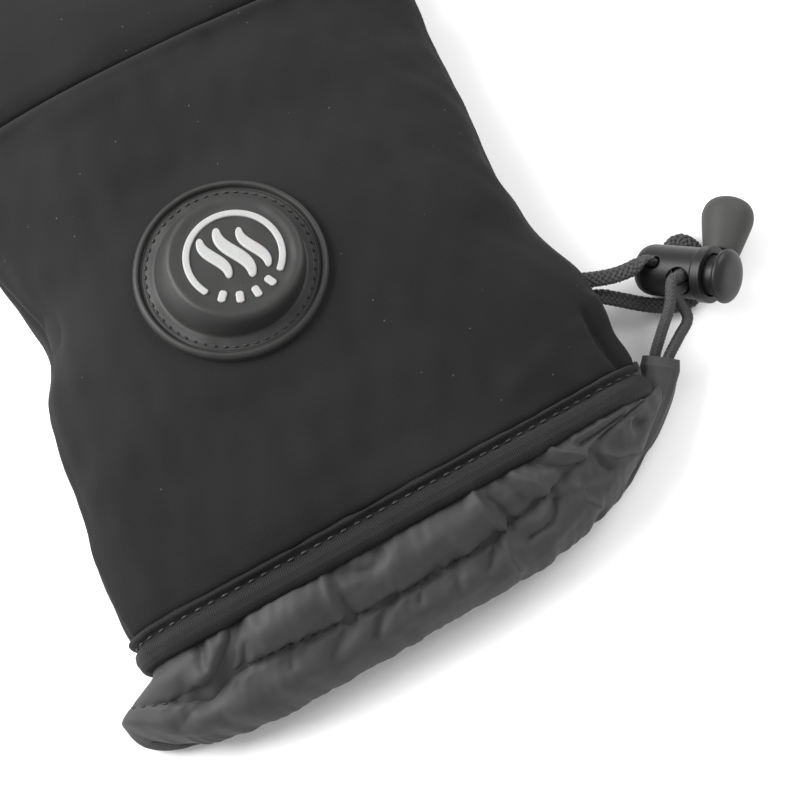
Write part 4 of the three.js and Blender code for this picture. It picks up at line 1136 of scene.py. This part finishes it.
# radius, height, how far it follows the cuff's crown
BUTTON_PROFILE = [
    (22.0, -0.7, 1), (22.1, 0.8, 1), (22.0, 1.5, 1), (21.7, 1.95, 1), (21.3, 2.15, 1),
    (20.9, 2.1, 1),
    (20.55, 1.75, 1), (20.3, 1.0, 1), (20.05, 0.85, 1), (19.7, 1.05, 1), (19.1, 0.95, 1),
    (18.5, 1.05, 1),
    (17.9, 1.1, 1), (17.4, 1.15, 1), (17.05, 1.3, 1), (16.75, 1.7, 0.92), (16.45, 2.5, 0.75),
    (16.15, 3.7, 0.45), (15.8, 4.85, 0.2), (15.4, 5.7, 0.05), (14.9, 6.25, 0), (14.3, 6.5, 0),
    (13.6, 6.48, 0), (12.9, 6.3, 0), (12.3, 6.16, 0), (9.0, 6.12, 0), (5.0, 6.12, 0),
    (1.5, 6.12, 0), (0.02, 6.12, 0),
]
BUTTON_SIDES, GROOVE_RADIUS, FACE_HEIGHT = 220, 19.1, 6.1
profile = np.array(BUTTON_PROFILE)
at = np.linspace(0, len(profile) - 1, 130)
radius, height, fit = (np.interp(at, range(len(profile)), profile[:, k]) for k in range(3))
for column in (radius, height):
    column[1:-1] = (column[:-2] + 2 * column[1:-1] + column[2:]) / 4
angle = np.linspace(0, 2 * np.pi, BUTTON_SIDES, endpoint=False)
x = BUTTON[0] + radius[:, None] * np.cos(angle) + DOME_SHIFT[0] * (1 - fit[:, None])
y = BUTTON[1] + radius[:, None] * np.sin(angle) + DOME_SHIFT[1] * (1 - fit[:, None])
crown = float(cuff_top(*BUTTON))
seat = fit[:, None] * cuff_top(x, y) + (1 - fit[:, None]) * crown
cover = np.stack([x, y, seat + height[:, None]], -1)
cover[..., 2] += 0.05 * soft_noise(cover, 7, 31)
last = (len(cover) - 1) * BUTTON_SIDES
faces = ring_faces(len(cover), BUTTON_SIDES) + [list(range(last, last + BUTTON_SIDES))]
piece("button_cover_moulded", cover.reshape(-1, 3), faces, silicone, ["button_cover"])
groove = np.argmin(np.abs(radius - GROOVE_RADIUS))
outward = grid_normals(cover)[groove]
stitches("flange_stitches", cover[groove], outward, 2.3, 1.5, 0.24, seed=7)
print("face height, mm:", round(crown + FACE_HEIGHT, 2))

# %% [markdown]
# ### The icon
# A ring that is open towards the hem, with four level marks in its opening and three
# heat waves inside it, is inlaid in white and stands slightly proud. Each part is one
# stroke with rounded shoulders and round ends.

# %% Icon strokes
ICON_RADIUS, ICON_STROKE, ICON_TURN = 11.4, 1.55, math.radians(-8)
RING_START, RING_END = -42, 217
WAVE_SWING, MARK_WIDTH, MARK_LENGTH = 0.178, 1.8, 2.9
# name, across, rise, length, width
WAVES = [
    ("heat_wave_left", -4.3, 1.0, 10, 2.7), ("heat_wave_middle", 0.3, 0.8, 12.3, 3.1),
    ("heat_wave_right", 4.7, 0.5, 10, 2.6),
]
MARK_ANGLES = [-124.5, -102.5, -80.5, -58.5]
STROKE_SECTION = np.array([
    (-1, -0.15), (-1, 0.18), (-0.95, 0.32), (-0.82, 0.43), (-0.6, 0.47), (-0.3, 0.48), (0, 0.48),
    (0.3, 0.48), (0.6, 0.47), (0.82, 0.43), (0.95, 0.32), (1, 0.18), (1, -0.15),
])


def stroke(name, line, half, round_end, taper=0.0):
    """A raised white stroke along a line in the icon's plane, with rounded ends. With
    taper it thins towards them, like a flame."""
    line = np.asarray(line, float)
    run = run_of(line)
    tip = round_end * (1 - np.cos(np.linspace(0, np.pi / 2, 10)))
    at = np.unique(np.concatenate([np.linspace(0, run[-1], 90), tip, run[-1] - tip]))
    at = at[(at >= 0) & (at <= run[-1])]
    centre = along_line(at, run, line)
    forward = unit(np.gradient(centre, at, axis=0))
    side = np.stack([-forward[:, 1], forward[:, 0]], -1)
    from_end = np.clip(np.minimum(at, run[-1] - at) / round_end, 0, 1)
    width = half * np.sqrt(np.maximum(1 - (1 - from_end) ** 2, 0.004))
    width = width * (1 - taper * np.abs(2 * at / run[-1] - 1) ** 2.5)
    low = np.minimum(1, 0.35 + width / half)
    flat = centre[:, None] + side[:, None] * (STROKE_SECTION[:, 0] * width[:, None])[..., None]
    cosine, sine = math.cos(ICON_TURN), math.sin(ICON_TURN)
    turned = flat @ np.array([[cosine, sine], [-sine, cosine]])
    height = crown + FACE_HEIGHT + STROKE_SECTION[:, 1] * low[:, None]
    points = np.concatenate([turned + BUTTON + DOME_SHIFT, height[..., None]], -1)
    sides = len(STROKE_SECTION)
    faces = ring_faces(len(at), sides) + end_caps(len(at), sides)
    return piece(name + "_inlay", points.reshape(-1, 3), faces, inlay, [name])


sweep = np.radians(np.linspace(RING_START, RING_END, 160))
ring_middle = ICON_RADIUS - ICON_STROKE / 2
stroke("icon_ring", np.stack([np.cos(sweep), np.sin(sweep)], -1) * ring_middle, ICON_STROKE / 2, 0.5)
for name, across, rise, length, wide in WAVES:
    share = np.linspace(-0.08, 1.08, 60)
    bend = across + WAVE_SWING * length * np.sin(1.25 * np.pi * (share - 0.5))
    stroke(name, np.stack([bend, rise + length * (0.5 - share)], -1), wide / 2, 0.7, taper=0.6)
for index, angle_deg in enumerate(MARK_ANGLES):
    out = np.array([math.cos(math.radians(angle_deg)), math.sin(math.radians(angle_deg))])
    reach = np.linspace(ICON_RADIUS + 0.2 - MARK_LENGTH, ICON_RADIUS + 0.2, 12)
    stroke(f"level_mark_{index + 1}", out * reach[:, None], MARK_WIDTH / 2, 0.7)

# %% [markdown]
# ## The cord lock and the cord end
# The lock is two mouldings and a spring: a barrel with a cross hole for the two strands
# and a slot for the anchor braid, and a plunger that the spring pushes out. The holes
# are cut as a moulder would core them, then every edge is rounded, since nothing
# moulded leaves the tool with a knife edge. The bell hides the knotted ends.

# %% Lathe, cut and round
def lathe_mesh(rows, sides=96):
    """A closed mesh turned from (radius, height) rows, in its own millimetres."""
    angle = np.linspace(0, 2 * np.pi, sides, endpoint=False)
    rows = np.asarray(rows, float)
    ring = np.stack([np.cos(angle), np.sin(angle)], -1)
    height = np.broadcast_to(rows[:, None, 1:], (len(rows), sides, 1))
    points = np.concatenate([rows[:, None, :1] * ring, height], -1)
    return points.reshape(-1, 3), ring_faces(len(rows), sides) + end_caps(len(rows), sides)


def bar(length, width, corner, depth, height, roll):
    """A bar with round corners across the lock, long along its axis."""
    rim = []
    for quarter, (x, y) in enumerate([(1, 1), (-1, 1), (-1, -1), (1, -1)]):
        turn = np.linspace(0, np.pi / 2, 9) + quarter * np.pi / 2
        rim.append(np.stack([
            x * (width / 2 - corner) + corner * np.cos(turn),
            y * (length / 2 - corner) + corner * np.sin(turn),
        ], -1))
    rim = np.vstack(rim)
    out = across_lock(roll)
    side = np.cross([0, 0, 1.0], out)
    layer = rim[:, :1] * side + rim[:, 1:] * np.array([0, 0, 1.0]) + np.array([0, 0, height])
    points = np.concatenate([layer - out * depth / 2, layer + out * depth / 2])
    n = len(rim)
    return points, ring_faces(2, n) + end_caps(2, n)


def cut_and_round(name, body_mesh, cutters, voxel, smoothing):
    """The body less its cutters, remeshed and smoothed so that every edge is round."""
    solid = put(name + "_raw", closed_mesh(name + "_raw", *body_mesh))
    tools = [put(name + "_tool", closed_mesh(name + "_tool", *cutter)) for cutter in cutters]
    for tool in tools:
        cut = solid.modifiers.new("cut", "BOOLEAN")
        cut.operation = "DIFFERENCE"
        cut.solver = "EXACT"
        cut.object = tool
    mesh = rounded(solid, voxel, smoothing)
    faces = [list(p.vertices) for p in mesh.polygons]
    for extra in (solid, *tools):
        bpy.data.objects.remove(extra)
    return mesh_values(mesh), faces


# %% Barrel
COLLAR_RADIUS, COLLAR_LENGTH, BORE_DEPTH = 6.8, 2.6, 11.2
SHAFT_RADIUS, SLIDE_GAP, CORD_HOLE_RADIUS = 4.8, 0.3, 3.3
SLOT_LENGTH, SLOT_WIDTH = 5.4, 3.0
PLUNGER_TRAVEL, CAP_RADIUS, CAP_THICK = 2.5, 6.5, 2.6
CORD_GAP, BRIDGE = 0.35, 1.2
bore_floor = BARREL_LENGTH - BORE_DEPTH
barrel_rows = [
    (0.05, 0), (3.4, 0), (4.6, 0.35), (5.5, 1.1), (6.0, 2.0), (BARREL_RADIUS, 3.2),
    (BARREL_RADIUS, BARREL_LENGTH - COLLAR_LENGTH), (COLLAR_RADIUS, BARREL_LENGTH - COLLAR_LENGTH),
    (COLLAR_RADIUS, BARREL_LENGTH), (0.05, BARREL_LENGTH),
]
bore = lathe_mesh([(0.05, bore_floor), (SHAFT_RADIUS + SLIDE_GAP, bore_floor),
                   (SHAFT_RADIUS + SLIDE_GAP, BARREL_LENGTH + 1), (0.05, BARREL_LENGTH + 1)])
hole_width = 2 * CORD_HOLE_RADIUS
hole = bar(hole_width, hole_width, CORD_HOLE_RADIUS - 0.01, 26, CORD_HOLE_AT, CORD_HOLE_ROLL)
slot_bar = bar(SLOT_LENGTH, SLOT_WIDTH, SLOT_WIDTH * 0.45, 26, SLOT_AT, SLOT_ROLL)
points, faces = cut_and_round("barrel", lathe_mesh(barrel_rows), [bore, hole, slot_bar], 0.17, 4)
piece("lock_barrel_moulded", on_lock(points), faces, plastic, ["lock_barrel"])
print("barrel faces:", len(faces))

# %% Plunger
window_length = DRAWCORD + 2 * CORD_GAP + PLUNGER_TRAVEL
window_start = NIP_AT - DRAWCORD / 2 - CORD_GAP
plunger_end = window_start - BRIDGE
cap_back = BARREL_LENGTH + PLUNGER_TRAVEL + PIECE_GAP
cap_rows = [
    (0.05, plunger_end), (SHAFT_RADIUS - 0.3, plunger_end), (SHAFT_RADIUS, plunger_end + 0.3),
    (SHAFT_RADIUS, cap_back),
    (CAP_RADIUS - 0.6, cap_back), (CAP_RADIUS - 0.15, cap_back + 0.3),
]
for turn in np.linspace(0, np.pi / 2, 12):
    domed = cap_back + 0.8 + (CAP_THICK - 0.8) * math.sin(turn)
    cap_rows.append((max(CAP_RADIUS * math.cos(turn) ** 0.55, 0.05), domed))
window_middle = window_start + window_length / 2
window = bar(
    window_length, hole_width - PIECE_GAP, SHAFT_RADIUS / 4, 20, window_middle, CORD_HOLE_ROLL
)
points, faces = cut_and_round("plunger", lathe_mesh(cap_rows), [window], 0.17, 4)
piece("lock_plunger_moulded", on_lock(points), faces, plastic, ["lock_plunger"], body="plunger")
print("plunger faces:", len(faces))

# %% Spring
SPRING_WIRE, SPRING_TURNS = 0.5, 3
spring_low = bore_floor + PIECE_GAP + SPRING_WIRE / 2
spring_high = plunger_end - PIECE_GAP - SPRING_WIRE / 2
turns = np.linspace(0, SPRING_TURNS * 2 * np.pi, 220)
coil_radius = SHAFT_RADIUS - 2 * SPRING_WIRE
coil = np.stack([coil_radius * np.cos(turns), coil_radius * np.sin(turns),
                 np.linspace(spring_low, spring_high, len(turns))], -1)
radial = np.stack([np.cos(turns), np.sin(turns), np.zeros(len(turns))], -1)
upward = unit(np.cross(radial, np.gradient(coil, axis=0)))
section = np.linspace(0, 2 * np.pi, 10, endpoint=False)
wire = coil[:, None] + SPRING_WIRE / 2 * (
    radial[:, None] * np.cos(section)[None, :, None] + upward[:, None] * np.sin(section)[None, :, None]
)
wire_faces = tube_faces(1, len(turns), len(section))
wire = on_lock(wire.reshape(-1, 3))
spring = piece("lock_spring_coil", wire, wire_faces, steel, ["lock_spring"])
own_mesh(spring)

# %% Cord end bell
bell_rows = [
    (0.05, 1.6), (3.3, 1.6), (3.5, 0.5), (3.75, 0.05), (4.05, 0), (BELL_MOUTH_RADIUS, 0.35),
    (4.65, 1.6),
    (5.25, 4.4), (5.75, BELL_LENGTH * 0.45), (6.12, BELL_LENGTH * 0.57),
    (BELL_RADIUS, BELL_LENGTH * 0.68),
    (6.38, BELL_LENGTH * 0.76), (6.05, BELL_LENGTH * 0.85), (5.4, BELL_LENGTH * 0.92),
    (4.3, BELL_LENGTH * 0.968),
    (2.5, BELL_LENGTH * 0.993), (0.05, BELL_LENGTH),
]
rows = np.array(bell_rows)
at = np.linspace(0, len(rows) - 1, 110)
fine = along_line(at, range(len(rows)), rows)
for _ in range(3):
    fine[1:-1] = (fine[:-2] + 2 * fine[1:-1] + fine[2:]) / 4
points, faces = lathe_mesh(fine, 120)
bell_up = np.cross(bell_axis, bell_side)
points = points @ np.stack([bell_side, bell_up, bell_axis]) + bell_base
piece("cord_end_bell_moulded", points, faces, rubber, ["cord_end_bell"])

# %% [markdown]
# ## The table and the light
# The photograph is a studio picture on pure white, with hardly any shadow. A white
# table and a white world give that, and two broad lamps shape the blacks: a large key
# from the upper left, which leaves the near side of the nylon darker, and a weaker fill
# from the right.

# %% Table
floor_mesh = bpy.data.meshes.new("table")
FLOOR = 1.2
corners = [(-FLOOR, -FLOOR, 0), (FLOOR, -FLOOR, 0), (FLOOR, FLOOR, 0), (-FLOOR, FLOOR, 0)]
floor_mesh.from_pydata(corners, [], [(0, 1, 2, 3)])
table = put("table", floor_mesh)
table_paint, tree, shader = new_material("table_paint", (0.9, 0.9, 0.9), 0.8, Specular_IOR_Level=0.1)
floor_mesh.materials.append(table_paint)

# %% World and lamps
world = bpy.data.worlds.new("studio")
bpy.context.scene.world = world
world.use_nodes = True
world.node_tree.nodes["Background"].inputs["Color"].default_value = (1, 1, 1, 1)
world.node_tree.nodes["Background"].inputs["Strength"].default_value = 0.74


def lamp(name, at, towards, size, power):
    """A soft rectangular lamp, its places and size in millimetres and its power in watts."""
    data = bpy.data.lights.new(name, "AREA")
    data.shape = "RECTANGLE"
    data.size, data.size_y = size[0] * MM, size[1] * MM
    data.energy = power
    obj = put(name, data)
    obj.location = Vector(place(at))
    obj.rotation_mode = "QUATERNION"
    obj.rotation_quaternion = (Vector(place(towards)) - obj.location).to_track_quat("-Z", "Y")
    return obj


lamp("key", (-420, 280, 440), (0, -40, 15), (520, 420), 9.6)
lamp("fill", (460, 60, 420), (10, -50, 10), (380, 300), 2.2)

# %% Colour
bpy.context.scene.view_settings.view_transform = "Standard"
